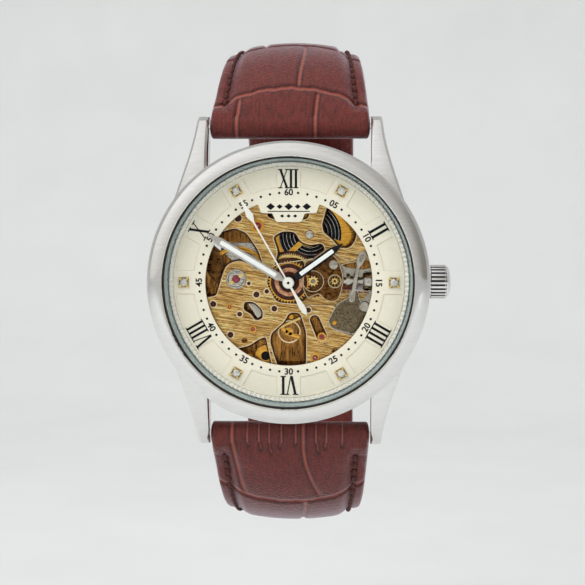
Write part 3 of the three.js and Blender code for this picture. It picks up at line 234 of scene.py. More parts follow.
def leather(name, deep, mid, pale):
    """Embossed leather: pebbled pores, patchy colour, paler colour in the pressed lines and painted shade
    along their shoulders.
    """
    material, nodes, links, shader = new_material(name)
    patches = noise(nodes, links, mapped(nodes, links, (3.2, 0.8, 0.8)), 8.0, 0.7)
    bright = tuple(1.5 * c for c in mid)
    colour = ramp(nodes, links, patches, [(0.34, deep), (0.5, mid), (0.68, bright)])
    pressed = nodes.new("ShaderNodeAttribute")
    pressed.attribute_name = "pressed"
    depth = pressed.outputs["Fac"]
    # painted shade: darker along the shoulders of each pressed line
    crease_shade = ramp(nodes, links, depth, [(0.0, (1, 1, 1)), (0.25, (0.3, 0.3, 0.3)), (0.5, (1, 1, 1))])
    pale_lines = nodes.new("ShaderNodeMix")
    pale_lines.data_type = "RGBA"
    set_inputs(pale_lines, {"B": (*pale, 1)})
    links.new(spread(nodes, links, depth, 0.0, 1.0, 0.4, 0.85), pale_lines.inputs["Factor"])
    links.new(multiplied(nodes, links, colour, crease_shade), pale_lines.inputs["A"])
    links.new(pale_lines.outputs["Result"], shader.inputs["Base Color"])
    pores = nodes.new("ShaderNodeTexVoronoi")
    set_inputs(pores, {"Scale": 3.2})
    links.new(mapped(nodes, links, (1, 1, 1)), pores.inputs["Vector"])
    wrinkles = noise(nodes, links, mapped(nodes, links, (2.6, 1.1, 1.1)), 8.0, 0.7)
    total = nodes.new("ShaderNodeMath")
    total.operation = "ADD"
    links.new(pores.outputs["Distance"], total.inputs[0])
    links.new(wrinkles, total.inputs[1])
    bump(nodes, links, shader, total.outputs["Value"], 0.09, 0.9)
    links.new(spread(nodes, links, wrinkles, 0.28, 0.5), shader.inputs["Roughness"])
    set_inputs(shader, {
        "Specular IOR Level": 0.36,
        "Coat Weight": 0.12,
        "Coat Roughness": 0.25,
        "Sheen Weight": 0.8,
        "Sheen Roughness": 0.28,
        "Sheen Tint": (0.9, 0.8, 0.95, 1),
    })
    return material


def streaked_brass():
    """Brass with dark and pale streaks that rise a little to the right, like brushed wood grain."""
    material, nodes, links, shader = new_material("streaked_brass")
    tilt = (0, math.radians(9), 0)
    long_grain = noise(nodes, links, mapped(nodes, links, (0.16, 1.0, 4.2), tilt), 7.0, 0.75)
    fine_grain = noise(nodes, links, mapped(nodes, links, (0.7, 2.0, 17.0), tilt), 5.0, 0.75)
    colour = ramp(nodes, links, long_grain, [
        (0.32, (0.1, 0.035, 0.01)),
        (0.43, (0.45, 0.25, 0.08)),
        (0.53, (0.8, 0.52, 0.2)),
        (0.63, (1.0, 0.82, 0.45)),
    ])
    streaks = ramp(nodes, links, fine_grain, [(0.4, (0.13, 0.08, 0.04)), (0.53, (1.35, 1.3, 1.16))])
    links.new(multiplied(nodes, links, colour, streaks, 0.9), shader.inputs["Base Color"])
    links.new(spread(nodes, links, fine_grain, 0.2, 0.42), shader.inputs["Roughness"])
    set_inputs(shader, {"Metallic": 1.0})
    bump(nodes, links, shader, fine_grain, 0.012)
    return material


STEEL = grained(
    "polished_steel", (0.77, 0.765, 0.745), (0.84, 0.835, 0.82), 1.0, (0.06, 0.11), (0.5, 0.5, 4), 0.0004,
)
SATIN_STEEL = grained(
    "movement_steel", (0.3, 0.27, 0.22), (0.85, 0.8, 0.72), 1.0, (0.14, 0.3), (1.5, 1, 7), 0.003,
)
DARK_STEEL = grained("dark_steel", (0.06, 0.042, 0.022), (0.3, 0.24, 0.15), 1.0, (0.28, 0.5), (4, 4, 4), 0.01)
BRONZE = grained(
    "motion_bronze", (0.01, 0.003, 0.001), (0.27, 0.12, 0.035), 1.0, (0.2, 0.4), (1.6, 1.6, 2.2), 0.02,
)
GREY_STEEL = grained("grey_steel", (0.2, 0.17, 0.13), (0.55, 0.5, 0.42), 1.0, (0.2, 0.38), (2, 2, 6), 0.004)
ARM_STEEL = grained(
    "arm_steel", (0.4, 0.36, 0.29), (0.62, 0.57, 0.49), 1.0, (0.1, 0.2), (0.6, 0.6, 0.6), 0.0005,
)
SPRING_STEEL = grained(
    "spring_steel", (0.3, 0.3, 0.31), (0.75, 0.75, 0.76), 1.0, (0.1, 0.2), (3, 3, 3), 0.001,
)
# painted shadow: near-black, for the floors inside the barrel and the corner ring
SHADOW_BLACK = grained("barrel_shadow", (0.004, 0.003, 0.003), (0.02, 0.015, 0.01), 0.4, (0.4, 0.6), (3, 3, 3), 0.002)
GOLD = grained("gold_wheel", (0.66, 0.27, 0.025), (1.0, 0.58, 0.1), 1.0, (0.14, 0.3), (0.9, 1, 5), 0.003)
PALE_GOLD = grained("train_gold", (0.8, 0.5, 0.14), (1.0, 0.8, 0.36), 1.0, (0.14, 0.28), (0.9, 1, 5), 0.003)
# painted shade: dark brown laid where shade falls in the openings, the holes and under the wheels; also the
# gems' dark seats
SHADE_UMBER = grained("deep_shadow", (0.022, 0.005, 0.003), (0.1, 0.024, 0.01), 0.4, (0.4, 0.6), (3, 3, 3), 0.003)
BRIDGE = grained(
    "bridge_brass", (0.03, 0.007, 0.002), (0.62, 0.29, 0.075), 1.0, (0.2, 0.4), (3, 1, 0.5), 0.008,
)
# polished bevels and rims whose paler, partly diffuse colour is a painted highlight
POLISH_HIGHLIGHT_GOLD = grained("polish_highlight_gold", (0.85, 0.62, 0.34), (1.0, 0.86, 0.6), 0.6, (0.1, 0.2), (2, 2, 2), 0.001)
POLISH_HIGHLIGHT_STEEL = grained("polish_highlight_steel", (0.6, 0.54, 0.44), (0.9, 0.86, 0.78), 0.7, (0.1, 0.2), (2, 2, 2), 0.001)
COPPER = grained("copper", (0.45, 0.18, 0.09), (0.86, 0.48, 0.3), 1.0, (0.18, 0.32), (2, 2, 2), 0.002)
RUBY = grained(
    "ruby", (0.1, 0.003, 0.006), (0.42, 0.025, 0.055), 0.0, (0.03, 0.08), (1.5, 1.5, 1.5), 0.001, coat=1.0,
)
RUBBER = grained("gasket_rubber", (0.012, 0.012, 0.014), (0.03, 0.03, 0.034), 0.0, (0.45, 0.65), (2, 2, 2))
SLATE = grained(
    "rehaut_metal", (0.36, 0.46, 0.51), (0.46, 0.56, 0.6), 0.5, (0.12, 0.22), (0.3, 0.3, 0.3), 0.0005,
)
DIAL = grained(
    "dial_enamel", (0.88, 0.82, 0.67), (0.92, 0.86, 0.71), 0.0, (0.38, 0.52), (1.6, 1.6, 1.6), 0.003,
)
DIAL_RIB = grained("dial_rib", (0.9, 0.86, 0.76), (0.95, 0.92, 0.83), 0.0, (0.2, 0.3), (1.6, 1.6, 1.6), 0.001)
# painted shade: a darker tint on the sloping steps round the sunken panels
DIAL_STEP_SHADE = grained(
    "dial_step_shade", (0.5, 0.45, 0.35), (0.66, 0.6, 0.48), 0.0, (0.3, 0.4), (1.6, 1.6, 1.6), 0.002,
)
PRINT = grained(
    "dial_print", (0.003, 0.003, 0.004), (0.012, 0.012, 0.015), 0.0, (0.3, 0.45), (3, 3, 3), 0.002,
    shine=0.15,
)
BLACK = grained(
    "black_hand", (0.004, 0.004, 0.005), (0.014, 0.014, 0.017), 0.0, (0.2, 0.3), (20, 20, 20), 0.0, shine=0.2,
)
SILVER = grained("silver_hand", (0.5, 0.47, 0.42), (0.66, 0.62, 0.56), 1.0, (0.25, 0.35), (12, 12, 12), 0.0)
CREAM = grained("cream_hand", (0.84, 0.8, 0.72), (0.9, 0.87, 0.8), 0.0, (0.25, 0.4), (12, 12, 12), 0.0)
LUME = grained("lume", (0.88, 0.88, 0.85), (0.94, 0.94, 0.92), 0.0, (0.5, 0.7), (9, 9, 9), 0.0)
STONE = grained(
    "gem_stone", (0.55, 0.52, 0.46), (1.0, 0.98, 0.92), 0.6, (0.02, 0.08), (3, 3, 3), 0.0, coat=1.0,
)
THREAD = grained("thread", (0.03, 0.006, 0.005), (0.11, 0.026, 0.018), 0.0, (0.6, 0.85), (9, 9, 9), 0.02)
CRYSTAL = clear_glass("sapphire", (0.985, 0.99, 0.99))
BACK_GLASS = clear_glass("back_glass", (0.95, 0.97, 0.97))
BRASS = streaked_brass()
LEATHER = leather("brown_leather", (0.055, 0.006, 0.004), (0.112, 0.0125, 0.008), (0.36, 0.09, 0.06))


# ---------------------------------------------------------------- making pieces
def stand(x, y, t):
    """Flat millimetres to the frame's metres."""
    return (x * MM, -t * MM, y * MM)


def settle(name, mesh, body, material, *nodes, angle=32, edge=None):
    """Names and finishes a piece, rides it on a body, and hides the CAD nodes it stands for.

    Edges sharper than angle degrees stay sharp; edge, where given, finishes the sloping faces: a painted
    highlight on the movement's polished bevels, painted shade on the dial's steps."""
    piece = bpy.data.objects.new(name, mesh)
    bpy.context.scene.collection.objects.link(piece)
    mesh.materials.clear()
    mesh.materials.append(material)
    if edge:
        mesh.materials.append(edge)
    for face in mesh.polygons:
        sloping = 0.25 < abs(face.normal.y) < 0.95
        face.material_index = 1 if edge and sloping else 0
    mesh.shade_smooth()
    mesh.set_sharp_from_angle(angle=math.radians(angle))
    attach(piece, body)
    if nodes:
        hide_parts(*nodes)
    return piece


def clean_mesh(name, vertices, faces):
    """A mesh with its doubled points merged and its faces turned outwards."""
    made = bmesh.new()
    points = [made.verts.new(v) for v in vertices]
    for face in faces:
        if len(set(face)) > 2:
            made.faces.new([points[i] for i in face])
    bmesh.ops.remove_doubles(made, verts=made.verts, dist=1e-7)
    return finished(made, name)


def finished(made, name):
    """A mesh from a bmesh, facing outwards."""
    bmesh.ops.recalc_face_normals(made, faces=made.faces)
    mesh = bpy.data.meshes.new(name)
    made.to_mesh(mesh)
    made.free()
    return mesh


def quads(rows, size, round_rows=False, round_size=True, base=0):
    """Faces between neighbouring rows of points, numbered from base; a round direction closes on itself."""
    faces = []
    for i in range(rows if round_rows else rows - 1):
        near, far = base + i * size, base + (i + 1) % rows * size
        for k in range(size if round_size else size - 1):
            after = (k + 1) % size
            faces.append((near + k, near + after, far + after, far + k))
    return faces


def evaluated(data, build=None):
    """The mesh that a curve comes to, or a mesh with the modifiers that build adds to its holder."""
    holder = bpy.data.objects.new("holder", data)
    bpy.context.scene.collection.objects.link(holder)
    if build:
        build(holder)
    ready = holder.evaluated_get(bpy.context.evaluated_depsgraph_get())
    mesh = bpy.data.meshes.new_from_object(ready)
    bpy.data.objects.remove(holder)
    return mesh


def add_loop(curve, points):
    """A closed outline of straight stretches through (x, y, z) points."""
    spline = curve.splines.new("POLY")
    spline.points.add(len(points) - 1)
    for point, place in zip(spline.points, points):
        point.co = (*place, 1)
    spline.use_cyclic_u = True


def merged(name, *meshes):
    """Several meshes as one, which frees them."""
    made = bmesh.new()
    for mesh in meshes:
        made.from_mesh(mesh)
        bpy.data.meshes.remove(mesh)
    mesh = bpy.data.meshes.new(name)
    made.to_mesh(mesh)
    made.free()
    return mesh


def plate(loops, low, high, bevel=0.04, steps=2):
    """A flat plate between two heights: outlines and holes as point loops, with rounded edges."""
    bevel = min(bevel, 0.45 * (high - low))
    curve = bpy.data.curves.new("plate", "CURVE")
    curve.dimensions = "2D"
    curve.fill_mode = "BOTH"
    curve.extrude = (high - low) / 2 - bevel
    curve.bevel_depth = bevel
    curve.bevel_resolution = steps
    curve.offset = -bevel
    for loop in loops:
        add_loop(curve, [(x, y, 0) for x, y in loop])
    mesh = evaluated(curve)
    bpy.data.curves.remove(curve)
    made = bmesh.new()
    made.from_mesh(mesh)
    bpy.data.meshes.remove(mesh)
    bmesh.ops.remove_doubles(made, verts=made.verts, dist=1e-4)
    for vertex in made.verts:
        x, y, z = vertex.co
        vertex.co = stand(x, y, z + (low + high) / 2)
    return finished(made, "plate")


def turned(profile, sides=96, at=(0, 0)):
    """A body turned about the upright axis through at; profile points are (radius, height)."""
    vertices = []
    for i in range(sides):
        c, s = math.cos(TURN * i / sides), math.sin(TURN * i / sides)
        vertices += [stand(at[0] + r * c, at[1] + r * s, t) for r, t in profile]
    return clean_mesh("turned", vertices, quads(sides, len(profile), round_rows=True))


def ring_mesh(outer, inner, low, high, at=(0, 0), soft=0.05, sides=64):
    """A flat ring with eased edges."""
    corners = [(inner, low), (outer, low), (outer, high), (inner, high)]
    return turned(soft_profile(corners, soft), sides, at)


def turned_on_stem(profile, sides=96):
    """A body turned about the winding stem's axis; profile points are (radius, x)."""
    vertices = []
    for i in range(sides):
        c, s = math.cos(TURN * i / sides), math.sin(TURN * i / sides)
        vertices += [stand(x, r * c, STEM_T + r * s) for r, x in profile]
    return clean_mesh("turned", vertices, quads(sides, len(profile), round_rows=True))


# ---------------------------------------------------------------- outlines
def polar(radius, angle, at=(0, 0)):
    """A point at an angle, anticlockwise from 3 o'clock."""
    return (at[0] + radius * math.cos(angle), at[1] + radius * math.sin(angle))


def arc(radius, start, stop, at=(0, 0), steps=12):
    """Points along an arc, with both its ends."""
    return [polar(radius, start + (stop - start) * i / steps, at) for i in range(steps + 1)]


def circle(radius, at=(0, 0), steps=48):
    """A closed round loop."""
    return arc(radius, 0, TURN, at, steps)[:-1]


def rounded(points, steps=6):
    """A closed loop through (x, y, corner radius) points with smooth corners."""
    loop = []
    for i, (x, y, radius) in enumerate(points):
        ends = []
        for other in (points[i - 1], points[(i + 1) % len(points)]):
            dx, dy = other[0] - x, other[1] - y
            length = math.hypot(dx, dy)
            reach = min(radius, 0.45 * length) / length
            ends.append((x + dx * reach, y + dy * reach))
        (x0, y0), (x1, y1) = ends
        for k in range(steps + 1):
            u = k / steps
            a, b, c = (1 - u) ** 2, 2 * u * (1 - u), u * u
            loop.append((a * x0 + b * x + c * x1, a * y0 + b * y + c * y1))
    return loop


def link(p0, p1, r0, r1=None, steps=10):
    """A capsule between two points."""
    r1 = r0 if r1 is None else r1
    along = math.atan2(p1[1] - p0[1], p1[0] - p0[0])
    quarter = TURN / 4
    near = arc(r0, along + quarter, along + 3 * quarter, p0, steps)
    return near + arc(r1, along - quarter, along + quarter, p1, steps)


def gear(teeth, pitch, at=(0, 0), tip=0.7, root=1.0, phase=0.0, width=0.46):
    """A wheel's toothed outline. width is a tooth's share of the pitch at its root."""
    module = 2 * pitch / teeth
    step = TURN / teeth
    loop = []
    for i in range(teeth):
        angle = phase + i * step
        for radius, side in (
            (pitch - root * module, -width),
            (pitch, -0.62 * width),
            (pitch + tip * module, -0.2 * width),
            (pitch + tip * module, 0.2 * width),
            (pitch, 0.62 * width),
            (pitch - root * module, width),
        ):
            loop.append(polar(radius, angle + side * step, at))
    return loop


def windows(count, inner, outer, gap, at=(0, 0), phase=0.0, steps=(14, 14)):
    """Evenly spaced ring-shaped windows with a parallel-sided gap left between neighbours."""
    loops = []
    for i in range(count):
        start, stop = phase + i * TURN / count, phase + (i + 1) * TURN / count
        trim_out, trim_in = math.asin(gap / 2 / outer), math.asin(gap / 2 / inner)
        far = arc(outer, start + trim_out, stop - trim_out, at, steps[0])
        loops.append(far + arc(inner, stop - trim_in, start + trim_in, at, steps[1]))
    return loops


def spiral(inner, outer, turns, thickness, at, per_turn=64):
    """A flat coil's outline: out along its outer side, and back along its inner side."""
    steps = round(turns * per_turn)
    sides = []
    for offset in (thickness / 2, -thickness / 2):
        radii = [inner + (outer - inner) * i / steps + offset for i in range(steps + 1)]
        sides.append([polar(radius, TURN * i / per_turn, at) for i, radius in enumerate(radii)])
    return sides[0] + sides[1][::-1]


def arc_profile(centre, radius, start, stop, steps):
    """Points of a profile's rounded stretch, in degrees."""
    return [
        (centre[0] + radius * math.cos(math.radians(a)), centre[1] + radius * math.sin(math.radians(a)))
        for a in np.linspace(start, stop, steps)
    ]


def soft_profile(corners, radius=0.08, steps=3):
    """A turned profile with every corner eased."""
    return rounded([(r, t, radius) for r, t in corners], steps)


# ---------------------------------------------------------------- case
def make_bezel():
    """The polished ring round the crystal, falling away in one smooth curve."""
    low = BEZEL_LOW
    profile = [(17.32, low), (17.32, 10.02), (17.36, 10.12), (17.46, 10.15)]
    for i in range(1, 13):
        u = i / 12
        profile.append((17.46 + 1.95 * u, 10.15 - 0.18 * u - 1.0 * u**3))
    profile += arc_profile((BEZEL_R - 0.16, 8.78), 0.16, 40, 0, 4)
    profile += arc_profile((BEZEL_R - 0.12, low + 0.12), 0.12, 0, -90, 4)
    settle("bezel_ring", turned(profile, 240), "case", STEEL, "bezel", angle=40)


# a lug's cross-sections: y, outer x, front height, rear height
LUG_STATIONS = [
    (9.5, 16.6, 7.7, 2.2),
    (14.0, 15.05, 7.45, 1.9), (17.5, 13.95, 6.7, 1.5), (20.3, 13.3, 5.5, 1.0), (22.2, 13.05, 4.1, 0.7),
    (23.15, 12.9, 2.9, 0.95),
]


def smooth_rows(rows, per_step):
    """Catmull-Rom interpolation through rows of numbers."""
    rows = np.array(rows, float)
    padded = np.vstack([2 * rows[0] - rows[1], rows, 2 * rows[-1] - rows[-2]])
    out = []
    for i in range(len(rows) - 1):
        p0, p1, p2, p3 = padded[i : i + 4]
        for k in range(per_step):
            u = k / per_step
            square = (2 * p0 - 5 * p1 + 4 * p2 - p3) * u**2
            cube = (3 * p1 - p0 - 3 * p2 + p3) * u**3
            out.append(0.5 * (2 * p1 + (p2 - p0) * u + square + cube))
    out.append(rows[-1])
    return out


def lug_mesh(side_x, side_y):
    """One lug, as cross-sections that taper and drop towards its tip."""
    inner = 11.4
    edge = 0.34
    vertices = []
    rows = smooth_rows(LUG_STATIONS, 6)
    for y, outer, front, rear in rows:
        section = [
            (inner, rear), (outer - edge, rear), (outer, rear + edge), (outer, front - 1.5 * edge),
            (outer - edge, front), (inner + edge, front), (inner, front - edge),
        ]
        vertices += [stand(side_x * x, side_y * y, t) for x, t in section]
    size = len(section)
    ends = [tuple(range(size)), tuple(range((len(rows) - 1) * size, len(rows) * size))]
    return clean_mesh("lug", vertices, ends + quads(len(rows), size))


def boolean(mesh, other, operation="DIFFERENCE"):
    """A mesh cut by another, or joined to it."""
    tool = bpy.data.objects.new("tool", other)
    bpy.context.scene.collection.objects.link(tool)

    def build(holder):
        modifier = holder.modifiers.new("cut", "BOOLEAN")
        modifier.operation = operation
        modifier.solver = "EXACT"
        modifier.object = tool

    result = evaluated(mesh, build)
    bpy.data.objects.remove(tool)
    return result


def drilled(mesh, loop, low, high):
    """A mesh with an outline cut through it between two heights."""
    return boolean(mesh, plate([loop], low, high, 0.0))


def bevelled(mesh, width, segments=2, angle=35):
    """A mesh with its sharp edges rounded, in millimetres and degrees."""
    def build(holder):
        ease_edges(holder, width, segments, angle)

    return evaluated(mesh, build)


def ease_edges(piece, width, segments, angle):
    """Adds a bevel to a piece's sharp edges."""
    modifier = piece.modifiers.new("edge", "BEVEL")
    modifier.width = width * MM
    modifier.segments = segments
    modifier.limit_method = "ANGLE"
    modifier.angle_limit = math.radians(angle)


def make_case():
    """The case band, with the four lugs joined to it."""
    band = turned(
        [(17.35, CASE_LOW + 1.0), (17.5, CASE_LOW + 1.0)]
        + arc_profile((18.75, CASE_LOW + 1.45), 0.45, -90, 0, 6)
        + [(19.2, 7.9), (19.12, 8.0), (17.35, 8.0)],
        240,
    )
    for side_x in (1, -1):
        for side_y in (1, -1):
            core = turned([(0, -1), (18.4, -1), (18.4, 12), (0, 12)])
            band = boolean(band, boolean(lug_mesh(side_x, side_y), core), "UNION")
    settle("case_body", bevelled(band, 0.05), "case", STEEL, "case_middle", angle=30)


def make_crystal():
    """The domed crystal and its gasket."""
    low, high = levels("crystal")
    dome = [(r, high - 0.4 * (r / 16.9) ** 2) for r in np.linspace(0, 16.75, 24)]
    profile = [(0, low)] + [(16.8, low), (16.93, low + 0.12), (16.93, high - 0.53)] + dome[::-1]
    settle("crystal_dome", turned(profile, 160), "case", CRYSTAL, "crystal")
    ring = soft_profile([(17.08, 8.92), (17.24, 8.92), (17.24, 9.5), (17.08, 9.5)], 0.04)
    settle("crystal_seal", turned(ring, 160), "case", RUBBER, "crystal_gasket")


def make_rehaut():
    """The sloping inner ring between crystal and dial."""
    profile = soft_profile([(16.72, 7.04), (17.28, 7.04), (17.28, 8.86), (17.1, 8.86)], 0.03)
    settle("rehaut_flange", turned(profile, 200), "case", SLATE, "rehaut_ring")


def make_back():
    """The screwed ring with six key notches, its display glass and the gasket."""
    outer = half_width("caseback_ring")
    glass = half_width("caseback_glass")
    seat = glass + 0.05
    corners = [(seat, 0.02), (glass + 0.5, 0.0), (outer - 0.7, 0.0), (outer, 0.5), (outer, 1.6), (seat, 1.6)]
    body = turned(soft_profile(corners, 0.12), 180)
    for i in range(6):
        notch = plate([circle(0.85, polar(outer - 0.35, TURN * i / 6 + TURN / 12), 24)], -0.6, 0.55, 0.0)
        body = boolean(body, notch)
    settle("back_ring", bevelled(body, 0.03), "case", STEEL, "caseback_ring")
    pane = [(0, 0), (glass - 0.15, 0), (glass, 0.12), (glass, 1.2), (glass - 0.1, 1.3), (0, 1.3)]
    settle("back_pane", turned(pane, 128), "case", BACK_GLASS, "caseback_glass")
    seal = soft_profile([(17.12, 1.66), (17.58, 1.66), (17.58, 1.94), (17.12, 1.94)], 0.1)
    settle("back_seal", turned(seal, 128), "case", RUBBER, "caseback_gasket")


def make_crown():
    """The fluted crown, its domed cap and a dark sleeve between its flutes that paints shade into the
    grooves.
    """
    flutes = 26
    outer, inner = 2.4, 2.08
    step = TURN / flutes
    loop = []
    for i in range(flutes):
        start = TURN * i / flutes
        loop += [polar(inner, start + u * step) for u in (0.0, 0.36)]
        loop += [polar(outer, start + u * step) for u in (0.44, 0.68, 0.92)]
    stations = [(19.68, 0.95), (19.85, 1.0), (21.75, 1.0), (21.9, 0.97)]
    vertices = [stand(x, scale * a, STEM_T + scale * b) for x, scale in stations for a, b in loop]
    count = len(loop)
    ends = [tuple(range(count)), tuple(range(3 * count, 4 * count))]
    body = clean_mesh("crown", vertices, ends + quads(4, count))
    bore = turned_on_stem([(0, 19), (1.25, 19), (1.25, 20.7), (0.54, 20.7), (0.54, 21.05), (0, 21.05)], 48)
    cap = turned_on_stem([
        (0, 21.85), (2.12, 21.85), (2.18, 21.95), (2.14, 22.12), (1.9, 22.3), (1.3, 22.48), (0.7, 22.57),
        (0, 22.6),
    ])
    settle("crown_knob", merged("crown", boolean(body, bore), cap), "crown_and_stem", STEEL, "crown")
    # painted shade: a dark sleeve that shows between the flutes
    grooves = turned_on_stem([(2.02, 19.72), (2.31, 19.74), (2.31, 21.72), (2.02, 21.74)])
    settle("crown_groove_shade", grooves, "crown_and_stem", RUBBER)


# ---------------------------------------------------------------- dial
def name_tab():
    """The stepped tab at 12, as the part of the opening's edge from its right to its left root."""
    side = [(3.85, 9.6, 0.22), (2.25, 9.55, 0.22), (1.75, 8.35, 0.3)]
    root = 4.25
    height = math.sqrt(OPENING_R**2 - root**2)
    half = [(root, height, 0.01), *side]
    return rounded(half + [(-x, y, radius) for x, y, radius in half[::-1]]), math.atan2(height, root)


def make_dial():
    """The dial ring with its tab, sunken panels between the hours, ribbed edge and ornament."""
    tab, root_angle = name_tab()
    opening = tab + arc(OPENING_R, math.pi - root_angle, TURN + root_angle, steps=120)[1:-1]
    base = plate([circle(DIAL_R, steps=180), opening], DIAL_LOW, DIAL_HIGH - 0.14, 0.03)
    panels = windows(12, 13.25, 15.75, 3.24, steps=(16, 12))
    raised = plate([circle(16.05, steps=180), opening, *panels], DIAL_HIGH - 0.15, DIAL_HIGH, 0.045)
    # the sloping steps get the painted shade
    settle("dial_plate", merged("dial", base, raised), "case", DIAL, "dial", angle=25, edge=DIAL_STEP_SHADE)
    ribs = 150
    profile = [(16.08, 0.0), (16.16, 0.3), (16.6, 0.46), (16.72, 0.0)]
    vertices = []
    for i in range(2 * ribs):
        lift = 1.0 if i % 2 else 0.15
        for radius, rise in profile:
            vertices.append(stand(*polar(radius, TURN * i / (2 * ribs)), DIAL_HIGH - 0.13 + rise * lift))
    faces = quads(2 * ribs, len(profile), round_rows=True, round_size=False)
    settle("dial_coin_edge", clean_mesh("ribs", vertices, faces), "case", DIAL_RIB, angle=20)
    spots = [(1.25 * k, 10.5, 0.42 if k % 2 else 0.6) for k in (-2, -1, 0, 1, 2)]
    spots += [(0.9 * k, 9.2, 0.3) for k in (-1, 0, 1)]
    marks = []
    for x, y, r in spots:
        lozenge = [(x - r, y), (x, y - 0.8 * r), (x + r, y), (x, y + 0.8 * r)]
        marks.append(plate([lozenge], DIAL_HIGH, DIAL_HIGH + 0.035, 0.01, 1))
    rule = [(-2.9, 9.78), (2.9, 9.78), (2.9, 9.9), (-2.9, 9.9)]
    marks.append(plate([rule], DIAL_HIGH, DIAL_HIGH + 0.03, 0.01, 1))
    settle("tab_ornament", merged("ornament", *marks), "case", PRINT)


def spun(loop, angle):
    """A loop turned clockwise about the centre, in radians."""
    c, s = math.cos(-angle), math.sin(-angle)
    return [(x * c - y * s, x * s + y * c) for x, y in loop]


NUMERAL_HALF = 1.32  # half an hour numeral's height
THICK, THIN, SERIF = 0.4, 0.16, 0.14  # its strokes' widths and its serifs' height


def glyph(letter):
    """A serifed Roman letter as loops, and its advance."""
    h = NUMERAL_HALF

    def stroke(top, bottom, width):
        half = width / 2
        return [(top - half, h), (top + half, h), (bottom + half, -h), (bottom - half, -h)]

    def serif(x, y, half):
        return [(x - half, y), (x + half, y), (x + half, y + SERIF), (x - half, y + SERIF)]

    if letter == "I":
        return [stroke(0, 0, THICK), serif(0, -h, 0.42), serif(0, h - SERIF, 0.42)], 0.86
    if letter == "V":
        feet = [serif(-0.62, h - SERIF, 0.42), serif(0.66, h - SERIF, 0.3)]
        return [stroke(-0.62, 0, THICK), stroke(0.66, 0.1, THIN), *feet], 1.7
    feet = [serif(x, y, 0.38) for x in (-0.6, 0.6) for y in (-h, h - SERIF)]
    return [stroke(-0.6, 0.6, THICK), stroke(0.6, -0.6, THIN), *feet], 1.66


def make_numerals():
    """Printed Roman hours; each stroke lies a hair above the last, so that crossings don't flicker."""
    meshes = []
    words = {12: "XII", 2: "II", 4: "IIII", 6: "VI", 8: "VIII", 10: "X"}
    squeeze = {"VIII": 0.78, "XII": 0.8, "IIII": 0.84}
    radius = 14.35
    for hour, word in words.items():
        glyphs = [glyph(letter) for letter in word]
        narrow = squeeze.get(word, 0.9)
        x = -sum(advance for _, advance in glyphs) / 2
        for loops, advance in glyphs:
            for loop in loops:
                points = [((x + advance / 2 + px) * narrow, radius + py) for px, py in loop]
                low = DIAL_HIGH + 0.001 + 0.0006 * ((len(meshes) + 1) % 7)
                meshes.append(plate([spun(points, TURN * hour / 12)], low, low + 0.045, 0.01, 1))
            x += advance
    settle("hour_numerals", merged("numerals", *meshes), "case", PRINT)


def text_mesh(words, size, at, angle):
    """Printed digits, centred on a point of the dial."""
    curve = bpy.data.curves.new("digits", "FONT")
    curve.body = words
    curve.size = size
    curve.align_x = "CENTER"
    curve.align_y = "CENTER"
    curve.extrude = 0.012
    curve.offset = 0.03
    mesh = evaluated(curve)
    turn = Matrix.Rotation(angle, 4, "Z")
    for vertex in mesh.vertices:
        x, y, z = turn @ vertex.co
        vertex.co = stand(x + at[0], y + at[1], DIAL_HIGH + 0.014 + z)
    return mesh


def make_minute_track():
    """Dots for the minutes and upright digits for every fifth one."""
    meshes = []
    for minute in range(60):
        angle = TURN / 4 - TURN * minute / 60
        at = polar(TRACK_R, angle)
        if minute % 5:
            meshes.append(plate([circle(0.17, at, 16)], DIAL_HIGH, DIAL_HIGH + 0.03, 0.008, 1))
            continue
        half_turn = math.pi if 20 <= minute <= 40 else 0.0
        meshes.append(text_mesh(f"{minute or 60:02d}", 1.22, at, angle - TURN / 4 + half_turn))
    settle("minute_track", merged("track", *meshes), "case", PRINT)


def make_gems():
    """Six faceted stones in claw settings on dark square seats."""
    stones, settings, seats = [], [], []
    base = DIAL_HIGH
    stone = [
        (0, base + 0.05), (0.3, base + 0.05), (0.58, base + 0.3),
        (0.58, base + 0.34), (0.34, base + 0.5), (0, base + 0.5),
    ]
    collet = [(0.56, base), (0.74, base), (0.72, base + 0.2), (0.62, base + 0.3), (0.56, base + 0.24)]
    for hour in (1, 3, 5, 7, 9, 11):
        angle = TURN / 4 - TURN * hour / 12
        at = polar(14.6, angle)
        stones.append(turned(stone, 8, at))
        settings.append(turned(collet, 32, at))
        corners = [angle + TURN * (k + 0.5) / 4 for k in range(4)]
        seats.append(plate([[polar(0.98, corner, at) for corner in corners]], base, base + 0.06, 0.02))
        for corner in corners:
            claw = link(polar(0.8, corner, at), polar(0.52, corner, at), 0.17, 0.1, 5)
            settings.append(plate([claw], base, base + 0.4, 0.08))
    settle("gem_stones", merged("stones", *stones), "case", STONE, angle=5)
    settle("gem_settings", merged("settings", *settings), "case", PALE_GOLD)
    settle("gem_seats", merged("seats", *seats), "case", SHADE_UMBER)


